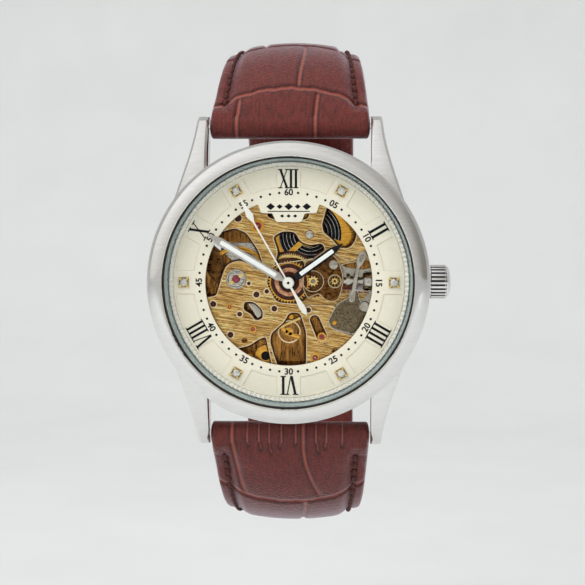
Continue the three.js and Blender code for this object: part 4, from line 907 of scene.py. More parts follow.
# ---------------------------------------------------------------- movement
def through_openings():
    """The openings cut right through the plate."""
    return [
        rounded([
            (5.5, 11.5, 0.3), (4.5, 7.95, 0.4), (4.75, 6.9, 0.4), (6.0, 5.85, 0.5), (7.0, 4.7, 0.4),
            (8.5, 4.65, 0.8), (9.5, 6.1, 1.0), (9.4, 8.6, 0.8), (7.4, 11.2, 0.5),
        ]),
        rounded([
            (-1.6, 4.3, 0.5), (-2.3, 6.3, 0.5), (-0.9, 7.2, 0.8), (0.9, 7.0, 0.6), (1.7, 5.6, 0.6),
            (3.0, 5.2, 0.5), (4.6, 5.5, 0.5), (5.2, 4.5, 0.6), (3.6, 3.4, 0.5), (2.2, 1.5, 0.6),
            (0, 0.9, 0.8), (-2.2, 1.5, 0.6),
        ]),
        rounded([
            (-3.0, 11.6, 0.3), (-3.1, 9.0, 0.6), (-1.2, 8.4, 0.5), (2.6, 8.7, 0.5), (3.4, 11.0, 0.5),
            (0, 12.2, 0.4),
        ]),
        rounded([
            (-12.9, 4.6, 0.5), (-9.8, 6.9, 0.5), (-7.6, 7.6, 0.6), (-5.9, 6.9, 0.6), (-4.2, 4.4, 0.6),
            (-3.5, 2.2, 0.4), (-4.5, 1.6, 0.4), (-5.6, 2.5, 0.8), (-7.0, 3.0, 0.9), (-8.7, 2.4, 0.9),
            (-9.4, 0.5, 0.9), (-10.1, -2.0, 0.5), (-12.9, -2.4, 0.4),
        ]),
        rounded([
            (0.0, -4.2, 0.6), (1.6, -4.2, 0.7), (2.5, -7.0, 0.8), (2.45, -12.2, 0.3), (-1.5, -12.3, 0.3),
            (-2.7, -8.5, 0.5), (-2.6, -7.2, 0.6), (-0.8, -5.6, 0.5),
        ]),
        rounded([
            (-7.6, -9.3, 0.4), (-5.6, -8.9, 0.6), (-4.2, -7.9, 0.6), (-3.2, -7.6, 0.4),
            (-2.2, -12.3, 0.3), (-6.2, -12.3, 0.4),
        ]),
        rounded([
            (-6.4, -2.7, 0.7), (-4.9, -2.7, 0.5), (-3.6, -3.9, 0.6), (-3.6, -5.2, 0.6),
            (-4.7, -5.5, 0.5), (-5.4, -4.5, 0.3), (-6.4, -4.0, 0.5),
        ]),
        rounded([
            (7.05, -1.7, 0.2), (11.8, -1.7, 0.2), (12.8, -2.5, 0.3), (14.0, -2.5, 0.2), (14.1, 1.0, 0.4),
            (10.9, 3.2, 0.5), (7.2, 2.4, 0.4),
        ]),
        link((3.6, -5.3), (4.55, -7.5), 0.75, 0.8),
    ]


# the recess round the centre and the winding works, which rim_tube follows: x, y, corner radius
POCKET = [
    (1.6, 3.0, 0.5), (4.7, 3.4, 0.8), (6.2, 4.1, 0.6), (8.0, 2.9, 0.8), (10.6, 3.7, 0.8),
    (12.7, 2.4, 0.6), (14.3, -0.8, 0.4), (14.2, -3.4, 0.6), (12.3, -6.3, 0.8), (9.0, -7.6, 0.8),
    (5.6, -6.4, 0.8), (6.6, -3.3, 0.8), (4.4, -3.3, 0.8), (2.4, -3.2, 0.8), (-1.8, -2.9, 0.9),
    (-3.3, 0, 1.0), (-2.2, 2.4, 0.9),
]
WINDING_PLACE = (11.0, 0.0)  # inside the opening over the winding works

# small blind holes with rims in a painted highlight and painted shade inside: x, y, radius
PLATE_HOLES = [
    (-2.05, -3.72, 0.4), (-4.55, -1.75, 0.42), (-6.9, -4.5, 0.34), (-8.2, -7.4, 0.42),
    (-10.6, -3.1, 0.42), (-3.1, -1.3, 0.3), (2.7, -3.9, 0.36), (-5.6, -0.2, 0.26), (-7.1, 8.9, 0.5),
]


def inside(loop, x, y):
    """Whether a point is inside an outline."""
    found = False
    for (x0, y0), (x1, y1) in zip(loop, loop[1:] + loop[:1]):
        if (y0 > y) != (y1 > y) and x < x0 + (y - y0) * (x1 - x0) / (y1 - y0):
            found = not found
    return found


def rim_tube(loop, radius, height, low=None):
    """A thin round bead along an outline at a height, or at low where it is inside the plate's pocket."""
    low = height if low is None else low
    pocket = rounded(POCKET)
    curve = bpy.data.curves.new("rim", "CURVE")
    curve.dimensions = "3D"
    curve.bevel_depth = radius
    curve.bevel_resolution = 1
    add_loop(curve, [(x, y, low if inside(pocket, x, y) else height) for x, y in loop])
    mesh = evaluated(curve)
    bpy.data.curves.remove(curve)
    for vertex in mesh.vertices:
        vertex.co = stand(*vertex.co)
    return mesh


def make_main_plate():
    """The openworked plate, cut from a disc, with polished eased edges in a painted highlight and painted
    shade below them.
    """
    above, below = PLATE_HIGH + 1, PLATE_LOW - 1
    openings = through_openings()
    pocket = rounded(POCKET)
    body = plate([circle(PLATE_R, steps=160)], PLATE_LOW, PLATE_HIGH, 0.0)
    body = drilled(body, pocket, POCKET_T, above)
    holes = [(0.95, (0, 0)), (0.35, THIRD), (0.62, BARREL)] + [(r, (x, y)) for x, y, r in PLATE_HOLES]
    for loop in openings + [circle(radius, at, 32) for radius, at in holes]:
        body = drilled(body, loop, below, above)
    body = drilled(body, circle(1.45, BALANCE), PLATE_HIGH - 0.6, above)
    body = bevelled(body, 0.1, 2, 50)
    settle("openwork_plate", body, "case", BRASS, "main_plate", angle=28, edge=POLISH_HIGHLIGHT_GOLD)
    # polished rims along the openings and the pocket, coloured as a painted highlight
    edges = [rim_tube(loop, 0.085, PLATE_HIGH + 0.03, POCKET_T + 0.03) for loop in openings]
    edges.append(rim_tube(pocket, 0.08, PLATE_HIGH + 0.02))
    settle("plate_edge_highlights", merged("edges", *edges), "case", POLISH_HIGHLIGHT_GOLD)
    # painted shade: dark tubes just inside the openings, below the rims
    shaded = [loop for loop in openings if not inside(loop, *WINDING_PLACE)]
    shades = [rim_tube(loop, 0.28, PLATE_HIGH - 0.33, POCKET_T - 0.25) for loop in shaded]
    settle("opening_shades", merged("shades", *shades), "case", SHADE_UMBER)
    rings, shade_plugs = [], []
    # each hole gets a rim in a painted highlight and a dark plug of painted shade
    for x, y, r in PLATE_HOLES:
        rings.append(ring_mesh(r + 0.16, r, PLATE_HIGH - 0.1, PLATE_HIGH + 0.06, (x, y), 0.03, 32))
        floor = [(0, PLATE_HIGH - 0.5), (r, PLATE_HIGH - 0.5), (r, PLATE_HIGH - 0.12), (0, PLATE_HIGH - 0.14)]
        shade_plugs.append(turned(floor, 24, (x, y)))
    settle("hole_rim_highlights", merged("rims", *rings), "case", POLISH_HIGHLIGHT_GOLD)
    settle("hole_shades", merged("shade_plugs", *shade_plugs), "case", SHADE_UMBER)


def make_jewels():
    """Pierced jewels in gilt settings, and the balance's shock-protected one."""
    top = PLATE_HIGH
    low = top - 0.02
    places = [
        (-4.36, 7.8, 0.9), (-8.3, -3.5, 0.42), (-5.05, -6.6, 0.52), (4.59, -7.63, 0.62),
        (4.75, 2.25, 0.6), (3.66, -10.57, 0.68),
    ]
    rings, stones = [], []
    for x, y, radius in places:
        wide = 0.58 * radius
        stone = [(0.1, low), (wide, low), (wide, top + 0.03), (0.2, top + 0.05), (0.1, top + 0.02)]
        rings.append(ring_mesh(radius, 0.6 * radius, low, top + 0.1, (x, y), 0.04, 40))
        stones.append(turned(stone, 40, (x, y)))
    settle("jewel_settings", merged("rings", *rings), "case", GOLD)
    settle("plate_jewels", merged("stones", *stones), "case", RUBY)
    shock = ring_mesh(1.4, 1.12, top - 0.5, top + 0.1, BALANCE, 0.06, 72)
    cap = ring_mesh(1.08, 0.55, top - 0.5, top - 0.1, BALANCE)
    settle("shock_setting", merged("shock", shock, cap), "case", SATIN_STEEL, "balance_jewel_ring")
    clips = []
    for angle in (0.65, 0.65 + math.pi):
        clip = link(polar(0.66, angle, BALANCE), polar(1.1, angle, BALANCE), 0.2, 0.3)
        clips.append(plate([clip], top - 0.16, top - 0.04, 0.03))
    settle("shock_clip", merged("clip", *clips), "case", PALE_GOLD)
    gem = [(0, top - 0.5), (0.54, top - 0.5), (0.54, top - 0.22), (0.4, top - 0.1), (0, top - 0.06)]
    settle("shock_jewel", turned(gem, 48, BALANCE), "case", RUBY, "balance_jewel")


def screw_mesh(at, radius, low, high, slot_angle, shank=None):
    """A slotted screw head; shank is the radius and lowest height of its shank, if it shows."""
    rim = [(radius - 0.03, low), (radius, low + 0.04), (radius, high - 0.08), (radius - 0.08, high)]
    head = turned([(0, low), *rim, (0, high)], 48, at)
    ends = [polar(radius + 0.5, slot_angle + turn, at) for turn in (0, math.pi)]
    head = drilled(head, link(*ends, 0.11 * radius + 0.04), high - 0.14, high + 0.5)
    if shank:
        wide, bottom = shank
        return merged("screw", head, turned([(0, bottom), (wide, bottom), (wide, low), (0, low)], 24, at))
    return head


def make_screws():
    """Screws and studs on the plate and the levers."""
    low, high = levels("setting_lever_screw")
    screw = screw_mesh(LEVER_SCREW, 0.73, 6.0, high, 0.2, (0.3, low))
    settle("lever_screw", screw, "case", ARM_STEEL, "setting_lever_screw")
    stud = screw_mesh(middle("jumper_screw"), 0.35, *levels("jumper_screw"), 0.7)
    settle("jumper_stud", stud, "case", GOLD, "jumper_screw")
    small = [(-6.2, -8.2, 0.4), (6.4, -9.6, 0.45), (-9.6, 7.9, 0.5), (9.6, -8.6, 0.5)]
    heads = [screw_mesh((x, y), r, PLATE_HIGH - 0.02, PLATE_HIGH + 0.14, x) for x, y, r in small]
    settle("plate_screws", merged("screws", *heads), "case", BRIDGE)
    dome = [(0, 5.9), (0.68, 5.9), (0.7, 6.25), (0.6, 6.36), (0.3, 6.42), (0, 6.43)]
    settle("polished_stud", turned(dome, 48, (6.22, 2.46)), "case", ARM_STEEL)


def make_barrel():
    """The barrel with its lid, mainspring and arbor."""
    low, high = levels("barrel_drum")
    teeth = plate([gear(72, 6.18, BARREL), circle(5.25, BARREL, 120)], low, low + 0.35, 0.03)
    wall = ring_mesh(5.75, 5.3, low + 0.3, high, BARREL, 0.05, 120)
    settle("barrel_body", merged("barrel", teeth, wall), "barrel", GOLD, "barrel_drum", edge=POLISH_HIGHLIGHT_GOLD)
    # painted shadow: the near-black floor inside the barrel
    settle("barrel_shadow_floor", ring_mesh(5.3, 0.72, low + 0.06, low + 0.2, BARREL, 0.03, 120), "barrel", SHADOW_BLACK)
    lid_low, lid_high = levels("barrel_lid")
    spokes = windows(3, 1.75, 4.4, 0.75, BARREL, math.radians(223))
    lid = plate([circle(5.95, BARREL, 120), circle(0.7, BARREL, 40), *spokes], lid_low, lid_high, 0.05)
    settle("barrel_cover", lid, "barrel", GOLD, "barrel_lid", edge=POLISH_HIGHLIGHT_GOLD)
    low, high = levels("mainspring")
    coil = plate([spiral(1.0, 5.1, 8, 0.1, BARREL, 72)], low, high, 0.03, 1)
    settle("mainspring_coil", coil, "barrel", SPRING_STEEL, "mainspring")
    low, high = levels("barrel_arbor")
    side = [(0.42, low), (0.42, 2.95), (0.6, 2.95), (0.6, 6.0), (0.5, 6.12), (0.3, 6.18)]
    settle(
        "barrel_axle", turned([(0, low), *side, (0, 6.2)], 48, BARREL), "ratchet", SATIN_STEEL,
        "barrel_arbor",
    )


def make_bridges():
    """The rear bridges: broad streaked plates that close most of the view through the openings."""
    low, high = levels("train_bridge")
    reach = 14.2
    outline = arc(reach, math.radians(-8), math.radians(-188), steps=60) + rounded([
        (-12.1, 2.6, 0.4), (-11.2, 0.5, 0.8), (-9.2, -0.9, 0.8), (-6.0, -1.7, 0.8), (-3.6, -1.2, 0.8),
        (-1.9, 1.6, 1.0), (1.7, 1.5, 1.0), (4.6, 0.0, 1.0), (6.6, -1.1, 0.8), (12.6, -1.6, 0.6),
    ])
    window = rounded([(5.2, -5.4, 0.8), (8.9, -6.3, 1.0), (7.0, -9.9, 1.2), (3.6, -11.2, 0.8)])
    train = plate([outline, window, circle(0.3), circle(0.3, THIRD, 24)], low, high, 0.06)
    settle("train_deck", train, "case", BRIDGE, "train_bridge", edge=POLISH_HIGHLIGHT_GOLD)
    low = levels("barrel_bridge")[0]
    top = 2.9
    outline = arc(reach, math.radians(150), math.radians(24), steps=50) + rounded([
        (12.9, 2.5, 0.8), (10.6, 1.6, 0.6), (7.4, 2.0, 0.8), (6.4, 5.2, 1.0), (3.0, 4.4, 1.0),
        (-2.0, 5.0, 1.2), (-6.4, 5.5, 0.8), (-8.4, 5.4, 0.8), (-10.2, 5.9, 0.8),
    ])
    upper = plate([outline, circle(0.55, BARREL, 32)], low, top, 0.06)
    settle("barrel_deck", upper, "case", BRIDGE, "barrel_bridge", edge=POLISH_HIGHLIGHT_GOLD)
    low, high = levels("balance_cock")
    root = (-12.4, 4.9)
    arm = plate([link(root, BALANCE, 1.1, 1.4, 24), circle(0.25, BALANCE, 24)], low, 2.3, 0.06)
    foot = turned(soft_profile([(0, 2.2), (1.15, 2.2), (1.15, high), (0, high)], 0.05), 40, root)
    cock = merged("cock", arm, foot, ring_mesh(0.75, 0.2, low - 0.08, low + 0.05, BALANCE))
    settle("balance_arm", cock, "case", BRIDGE, "balance_cock", edge=POLISH_HIGHLIGHT_GOLD)


def add_plate(name, corners, low, high, bevel, finish, edge=None):
    """A fixed plate with rounded corners."""
    settle(name, plate([rounded(corners)], low, high, bevel), "case", finish, edge=edge)


def make_details():
    """Fixed detail seen through the openings."""
    low = 4.9
    add_plate("balance_guard", [
        (-12.8, 4.2, 0.3), (-10.6, 4.4, 0.5), (-9.6, 3.6, 0.5), (-9.3, 1.6, 0.4), (-10.2, -1.8, 0.4),
        (-12.8, -2.2, 0.3),
    ], 3.35, 4.1, 0.08, BRONZE, POLISH_HIGHLIGHT_GOLD)
    add_plate("balance_floor", [
        (-9.9, 4.4, 0.3), (-9.0, 7.2, 0.5), (-5.5, 7.6, 0.5), (-3.0, 4.0, 0.5), (-3.0, 0.6, 0.5),
        (-9.5, -0.6, 0.5),
    ], 1.98, 2.1, 0.03, SATIN_STEEL)
    add_plate("fork_bracket", [
        (-5.9, -3.0, 0.3), (-4.3, -3.1, 0.3), (-3.7, -4.4, 0.3), (-4.4, -5.4, 0.3), (-5.0, -4.3, 0.3),
    ], 4.95, 5.15, 0.05, ARM_STEEL)
    at = (0.0, -7.0)
    settle("arch_ring", ring_mesh(1.62, 1.42, low, low + 0.2, at, 0.04), "case", POLISH_HIGHLIGHT_GOLD)
    disc = [(0, low - 0.12), (1.45, low - 0.12), (1.45, low - 0.04), (0, low - 0.02)]
    settle("arch_disc", turned(disc, 48, at), "case", BRIDGE)
    centre = (1.6, -4.4)
    start, stop = math.radians(200), math.radians(268)
    sector = arc(3.5, start, stop, centre, 20) + arc(3.0, stop, start, centre, 20)
    rack = [plate([sector], low + 0.1, low + 0.3)]
    for angle in np.linspace(start, stop, 13):
        tooth = link(polar(3.5, angle, centre), polar(3.75, angle, centre), 0.06, 0.05, 4)
        rack.append(plate([tooth], low + 0.12, low + 0.26, 0.02))
    settle("arch_rack", merged("rack", *rack), "case", GOLD, edge=POLISH_HIGHLIGHT_GOLD)
    settle("arch_hub", screw_mesh(at, 0.62, low, low + 0.3, 0.9), "case", GOLD, edge=POLISH_HIGHLIGHT_GOLD)
    lever = plate([link((-2.5, -6.9), (1.7, -5.0), 0.17)], low + 0.32, low + 0.45)
    settle("arch_link", lever, "case", PALE_GOLD)
    add_plate("arch_plate", [
        (-2.2, -8.3, 0.3), (2.3, -8.3, 0.3), (2.3, -12.6, 0.3), (-1.9, -12.6, 0.3),
    ], 2.95, 4.1, 0.05, BRIDGE, POLISH_HIGHLIGHT_GOLD)
    at = (-3.3, -10.4)
    settle("corner_ring", ring_mesh(1.5, 0.62, low, 5.3, at, 0.08), "case", GOLD, edge=POLISH_HIGHLIGHT_GOLD)
    # painted shadow: the near-black floor inside the corner ring
    settle("corner_shadow_floor", turned([(0, 4.7), (0.7, 4.7), (0.7, 4.85), (0, 4.85)], 32, at), "case", SHADOW_BLACK)
    heads = []
    for x, y, r, top in [(0.3, -4.9, 0.35, 5.3), (-5.6, -10.6, 0.5, 5.2)]:
        heads.append(turned(soft_profile([(0, 3.0), (r, 3.0), (r, top), (0, top)]), 32, (x, y)))
    settle("arch_studs", merged("studs", *heads), "case", GOLD)


def make_train():
    """The centre, third and fourth wheels with their pinions."""
    low = 4.2
    teeth = gear(80, 3.93, phase=0.01, root=1.8, width=0.3)
    rim = plate([teeth, circle(0.5), *windows(5, 1.1, 3.35, 0.5, phase=0.9)], low, low + 0.18, 0.03)
    pinion = plate([gear(12, 1.03, phase=0.1, width=0.3), circle(0.3)], 3.0, 4.1, 0.03)
    hub = ring_mesh(0.52, 0.26, 2.97, low, soft=0.03)
    post = ring_mesh(0.5, 0.26, 4.1, 4.98, soft=0.03)
    centre = merged("centre", rim, pinion, hub, post)
    settle("centre_gear", centre, "centre_arbor", PALE_GOLD, "centre_wheel", edge=POLISH_HIGHLIGHT_GOLD)
    under = arc(4.3, 0.3, 2.85, steps=40) + arc(3.55, 2.85, 0.3, steps=40)
    settle("centre_shade", plate([under], 4.08, 4.13, 0.01), "case", SHADE_UMBER)
    spokes = windows(5, 0.8, 3.2, 0.42, THIRD, 0.3)
    wheel = plate([gear(60, 3.9, THIRD, phase=0.02), circle(0.2, THIRD), *spokes], 2.7, 2.85, 0.03)
    leaves = plate([gear(10, 0.491, THIRD, width=0.3), circle(0.1, THIRD)], 4.12, 4.46, 0.02)
    axle = turned([(0, 1.95), (0.12, 2.0), (0.2, 2.3), (0.2, 5.0), (0.1, 5.2), (0, 5.2)], 24, THIRD)
    settle("third_gear", merged("third", wheel, leaves, axle), "third_arbor", GOLD, "third_wheel")
    spokes = windows(4, 0.8, 3.35, 0.42, phase=0.5)
    wheel = plate([gear(72, 4.04, phase=0.015), circle(0.16), *spokes], 2.45, 2.6, 0.03)
    leaves = plate([gear(8, 0.52, width=0.3), circle(0.1)], 2.55, 2.89, 0.02)
    axle = turned([(0, 1.95), (0.1, 2.0), (0.16, 2.2), (0.16, 8.18), (0.1, 8.2), (0, 8.2)], 24)
    settle("fourth_gear", merged("fourth", wheel, leaves, axle), "fourth_arbor", GOLD, "fourth_wheel")


def make_balance():
    """The balance wheel with its arms, staff and timing weights, and the hairspring."""
    rim = ring_mesh(4.5, 3.95, 2.75, 3.15, BALANCE, 0.07, 128)
    arms = []
    for i in range(3):
        tip = polar(4.1, TURN * i / 3 + 0.6, BALANCE)
        arms.append(plate([link(BALANCE, tip, 0.3, 0.22)], 2.85, 3.05, 0.05))
    hub = turned([(0, 2.8), (0.5, 2.8), (0.5, 3.2), (0.55, 3.2), (0.55, 3.6), (0, 3.6)], 40, BALANCE)
    staff = turned([(0, 1.95), (0.06, 1.97), (0.13, 2.2), (0.13, 5.1), (0.06, 5.3), (0, 5.3)], 24, BALANCE)
    weight = [(0, 2.82), (0.16, 2.82), (0.16, 3.08), (0, 3.08)]
    weights = [turned(weight, 12, polar(4.22, TURN * i / 12, BALANCE)) for i in range(12)]
    wheel = merged("balance", rim, *arms, hub, staff, *weights)
    settle("balance_rim", wheel, "balance", GOLD, "balance_wheel", edge=POLISH_HIGHLIGHT_GOLD)
    coil = plate([spiral(0.45, 2.4, 12, 0.05, BALANCE, 48)], *levels("hairspring"), 0.01, 1)
    settle("hairspring_coil", coil, "case", SPRING_STEEL, "hairspring")


def make_star(name, body, at, teeth, pitch, bore, low):
    """A bright pinion star on top of a wheel."""
    outline = gear(teeth, pitch, at, width=0.24, root=0.9, tip=0.5)
    star = plate([outline, circle(bore, at, 24)], low, low + 0.06, 0.02)
    settle(name, star, body, PALE_GOLD, edge=POLISH_HIGHLIGHT_GOLD)


def make_motion_works():
    """The hour, minute and setting wheels below the hands."""
    hour = plate([gear(42, 2.895, root=1.6, tip=0.9, width=0.3), circle(0.75)], 5.5, 5.7, 0.03)
    pipe = ring_mesh(1.0, 0.62, 5.6, 7.55)
    settle("hour_gear", merged("hour", hour, pipe), "hour_pipe", GOLD, "hour_wheel", edge=POLISH_HIGHLIGHT_GOLD)
    settle("hour_shade", ring_mesh(2.55, 1.0, 5.71, 5.74, soft=0.01, sides=96), "hour_pipe", SHADE_UMBER)
    settle("wheel_shade", ring_mesh(3.3, 1.1, 5.3, 5.36, soft=0.02, sides=96), "case", SHADE_UMBER)
    washer = ring_mesh(2.0, 1.42, 5.75, 5.85, soft=0.03, sides=96)
    settle("hour_washer", washer, "case", COPPER, "dial_washer")
    at = middle("minute_wheel")
    wheel = plate([gear(30, 2.25, at), circle(0.3, at)], 5.0, 5.2, 0.03)
    pinion = plate([gear(7, 0.48, at, width=0.3), circle(0.15, at)], 5.15, 5.8, 0.03)
    collar = ring_mesh(1.32, 1.12, 5.2, 5.35, at, 0.03)
    axle = turned([(0, 4.87), (0.2, 4.87), (0.2, 5.85), (0.12, 5.9), (0, 5.9)], 24, at)
    minute = merged("minute", wheel, pinion, collar, axle)
    settle("minute_gear", minute, "minute_train", BRONZE, "minute_wheel", edge=POLISH_HIGHLIGHT_STEEL)
    make_star("minute_star", "minute_train", at, 10, 0.72, 0.3, 5.86)
    at = middle("setting_wheel")
    wheel = plate([gear(10, 0.75, at, width=0.32), circle(0.3, at)], 5.0, 5.25, 0.03)
    post = turned([(0, 4.87), (0.35, 4.87), (0.35, 5.5), (0.2, 5.6), (0, 5.6)], 32, at)
    setting = merged("setting", wheel, post)
    settle("setting_gear", setting, "setting_train", BRONZE, "setting_wheel", edge=POLISH_HIGHLIGHT_STEEL)
    make_star("setting_star", "setting_train", at, 8, 0.5, 0.2, 5.61)


# the cover over the motion works: x, y, corner radius
MOTION_COVER = [
    (2.3, 3.0, 0.6), (4.8, 3.2, 0.8), (6.2, 3.9, 0.7), (7.0, 2.6, 0.6), (7.6, 0.6, 0.8),
    (7.2, -1.6, 0.6), (6.6, -2.7, 0.7), (5.2, -2.6, 0.6), (4.2, -1.5, 0.5), (2.6, -2.2, 0.4),
    (2.0, -0.9, 0.3), (2.0, 1.2, 0.3),
]


def make_covers():
    """The cover over the motion works, the jumper plate by the crown and the arm of its spring."""
    low, high = levels("motion_works_cover")
    minute, setting = middle("minute_wheel"), middle("setting_wheel")
    body = plate([rounded(MOTION_COVER), circle(0.85, setting, 40)], low, high, 0.0)
    body = drilled(body, circle(1.4, minute, 56), 5, 7)
    settle("motion_cover", bevelled(body, 0.05, 2, 50), "case", BRONZE, "motion_works_cover", edge=POLISH_HIGHLIGHT_GOLD)
    # polished rims round the cover and its holes, coloured as a painted highlight
    rims = [
        rim_tube(circle(0.9, setting), 0.06, high),
        rim_tube(circle(1.45, minute), 0.06, high),
        rim_tube(rounded(MOTION_COVER), 0.055, high - 0.02),
    ]
    settle("cover_rim_highlights", merged("rims", *rims), "case", POLISH_HIGHLIGHT_GOLD)
    low, high = levels("setting_lever_jumper")
    outline = rounded([
        (8.9, -1.1, 0.4), (8.5, -2.1, 0.5), (6.9, -2.9, 0.7), (6.3, -3.8, 0.5), (5.5, -5.4, 0.5),
        (5.7, -6.1, 0.5), (6.3, -6.5, 0.4), (8.95, -7.3, 0.5), (10.2, -5.9, 0.5), (11.0, -4.2, 0.5),
        (9.9, -2.6, 0.5), (9.5, -1.1, 0.3),
    ])
    body = drilled(plate([outline], low, high, 0.0), circle(0.8, LEVER_SCREW), 5, 7)
    jumper = bevelled(body, 0.06, 2, 50)
    settle("lever_jumper", jumper, "case", DARK_STEEL, "setting_lever_jumper", edge=POLISH_HIGHLIGHT_STEEL)
    # a painted highlight along the jumper's edge
    settle("jumper_edge_highlight", rim_tube(outline, 0.06, high - 0.01), "case", POLISH_HIGHLIGHT_STEEL)
    joints = [
        (8.75, -2.4, 0.42), (9.05, -1.0, 0.3), (9.4, 1.0, 0.24), (9.65, 2.2, 0.26), (9.85, 2.8, 0.5),
        (10.25, 3.75, 0.62),
    ]
    arms = []
    for (x0, y0, r0), (x1, y1, r1) in zip(joints[:-1], joints[1:]):
        stretch = link((x0, y0), (x1, y1), r0, r1, 14)
        lift = 0.004 * len(arms)
        arms.append(plate([stretch], low + 0.02 + lift, high + 0.03 + lift, 0.09, 3))
    settle("jumper_spring", merged("arm", *arms), "case", ARM_STEEL)
    # painted shade: a darker grey sheet standing for the hollow at the spring's end
    hollow_shade = plate([link((9.9, 2.95), (10.2, 3.65), 0.16, 0.3)], high + 0.04, high + 0.06, 0.005)
    settle("jumper_hollow_shade", hollow_shade, "case", GREY_STEEL)


# ---------------------------------------------------------------- hands
def mirrored(side):
    """A closed outline from its right side, told from bottom to top."""
    return side + [(-x, y) for x, y in side[::-1]]


def baton(length, half, root, shoulder):
    """A flat hand's outline, from its narrow root to its blunt tip."""
    return mirrored([(root, 0), (root, 1.0), (half, 1.7), (half, length - shoulder), (0.05, length)])


def make_baton(name, node, body, outline, strip, degrees, hub, bore, finish):
    """A flat hand with a ring round its post and a pale strip (its start, end and half width)."""
    low, high = levels(node)
    angle = math.radians(degrees)
    blade = drilled(plate([spun(outline, angle)], low, high), circle(bore), low - 1, high + 1)
    disc = plate([circle(hub), circle(bore)], low, high)
    settle(name, merged(name, blade, disc), body, finish, node)
    start, stop, half = strip
    loop = rounded([(-half, start, 0.08), (half, start, 0.08), (half, stop, 0.2), (-half, stop, 0.2)])
    settle(name + "_lume", plate([spun(loop, angle)], high - 0.03, high + 0.035, 0.02), body, LUME)


def make_hands():
    """Hour, minute and seconds hands at the photo's time."""
    make_baton(
        "hour_baton", "hour_hand", "hour_pipe", baton(9.2, 0.55, 0.34, 1.7), (2.0, 7.6, 0.29),
        54.3, 1.05, 0.62, BLACK,
    )
    make_baton(
        "minute_baton", "minute_hand", "centre_arbor", baton(13.1, 0.56, 0.28, 2.0), (2.0, 10.9, 0.3),
        301, 0.82, 0.25, SILVER,
    )
    low, high = levels("seconds_hand")
    leaf = mirrored([(0.11, 0), (0.12, 9.6), (0.5, 10.7), (0.3, 11.6), (0.06, 13.6)])
    tail = mirrored([(0.11, 0), (0.2, -2.2), (0.42, -3.7), (0.36, -4.5), (0.05, -5.1)])
    meshes = [plate([spun(shape, math.radians(330.3))], low, high, 0.03) for shape in (leaf, tail)]
    side = [(0.74, low - 0.15), (0.76, high - 0.03), (0.66, high + 0.08)]
    cap = turned([(0.2, low - 0.15), *side, (0.2, high + 0.1)], 64)
    settle("seconds_needle", merged("seconds", *meshes, cap), "fourth_arbor", CREAM, "seconds_hand")
    dot = turned([(0, high), (0.17, high), (0.15, high + 0.12), (0, high + 0.14)], 24)
    settle("seconds_pivot", dot, "fourth_arbor", BLACK)


# ---------------------------------------------------------------- strap
STRAP_WIDTH, STRAP_END = 22.6, 18.0  # its width at the lugs and at the buckle
SEAM_INSET = 1.8  # from the stitching to the strap's edge
BAR_T, BAR_Y = 2.4, 21.8  # the spring bars
LOOP_Y, LOOP_DEPTH = 16.5, 34.0  # the closed strap's oval: its middle, and how far it reaches back from there
STRAP_ROWS = 420  # cross-sections along each half
ACROSS = 97  # points across its outer face
STAGGERED = [(-6.5, 4.6), (1.6,), (-4.4, 6.2), (-1.2,)]  # lengthwise lines of the fields along the strap
# place across the strap and length of each short fold at the lower bar
FOLDS = [(-6.1, 0.8), (-4.3, 1.4), (-2.7, 2.0), (-1.3, 1.1), (0.7, 0.7), (3.9, 1.8), (5.2, 1.2), (7.6, 0.9)]


def strap_line(side, loop_height, end_angle, inset, count):
    """The strap's middle line in the YZ plane, in millimetres, at even steps of its length.

    It leaves the bar on one arc and then follows a half oval; inset is how far it lies inside that oval."""
    rise = loop_height - BAR_Y
    radius = rise / 2 + (LOOP_Y + BAR_T) ** 2 / (2 * rise)
    arc_centre = loop_height - radius
    start = math.atan2(BAR_Y - arc_centre, -BAR_T - LOOP_Y)
    angles = np.linspace(start, TURN / 4, 60)
    points = [(LOOP_Y + radius * math.cos(a), arc_centre + radius * math.sin(a)) for a in angles]
    for a in np.linspace(TURN / 4, end_angle, 160)[1:]:
        shrink = inset(a)
        points.append((LOOP_Y + (LOOP_DEPTH - shrink) * math.cos(a), (loop_height - shrink) * math.sin(a)))
    points = np.array(points)
    lengths = np.r_[0, np.cumsum(np.hypot(*np.diff(points, axis=0).T))]
    even = np.linspace(0, lengths[-1], count)
    line = np.c_[np.interp(even, lengths, points[:, 0]), np.interp(even, lengths, points[:, 1])]
    line[:, 1] *= side
    return line, even


def eased(share):
    """From 0 to 1 with a soft start and stop."""
    share = min(1.0, max(0.0, share))
    return share * share * (3 - 2 * share)


def no_inset(angle):
    """The upper half lies on the oval itself."""
    return 0.0


def tuck(angle):
    """How far the lower half's tail dips inside the upper half, in millimetres."""
    return 4.4 * eased((1.0 - angle) / 0.75)


def groove(distance, width):
    """How deep a pressed line is at a distance from its middle, from 1 to 0."""
    return np.exp(-((distance / width) ** 2))


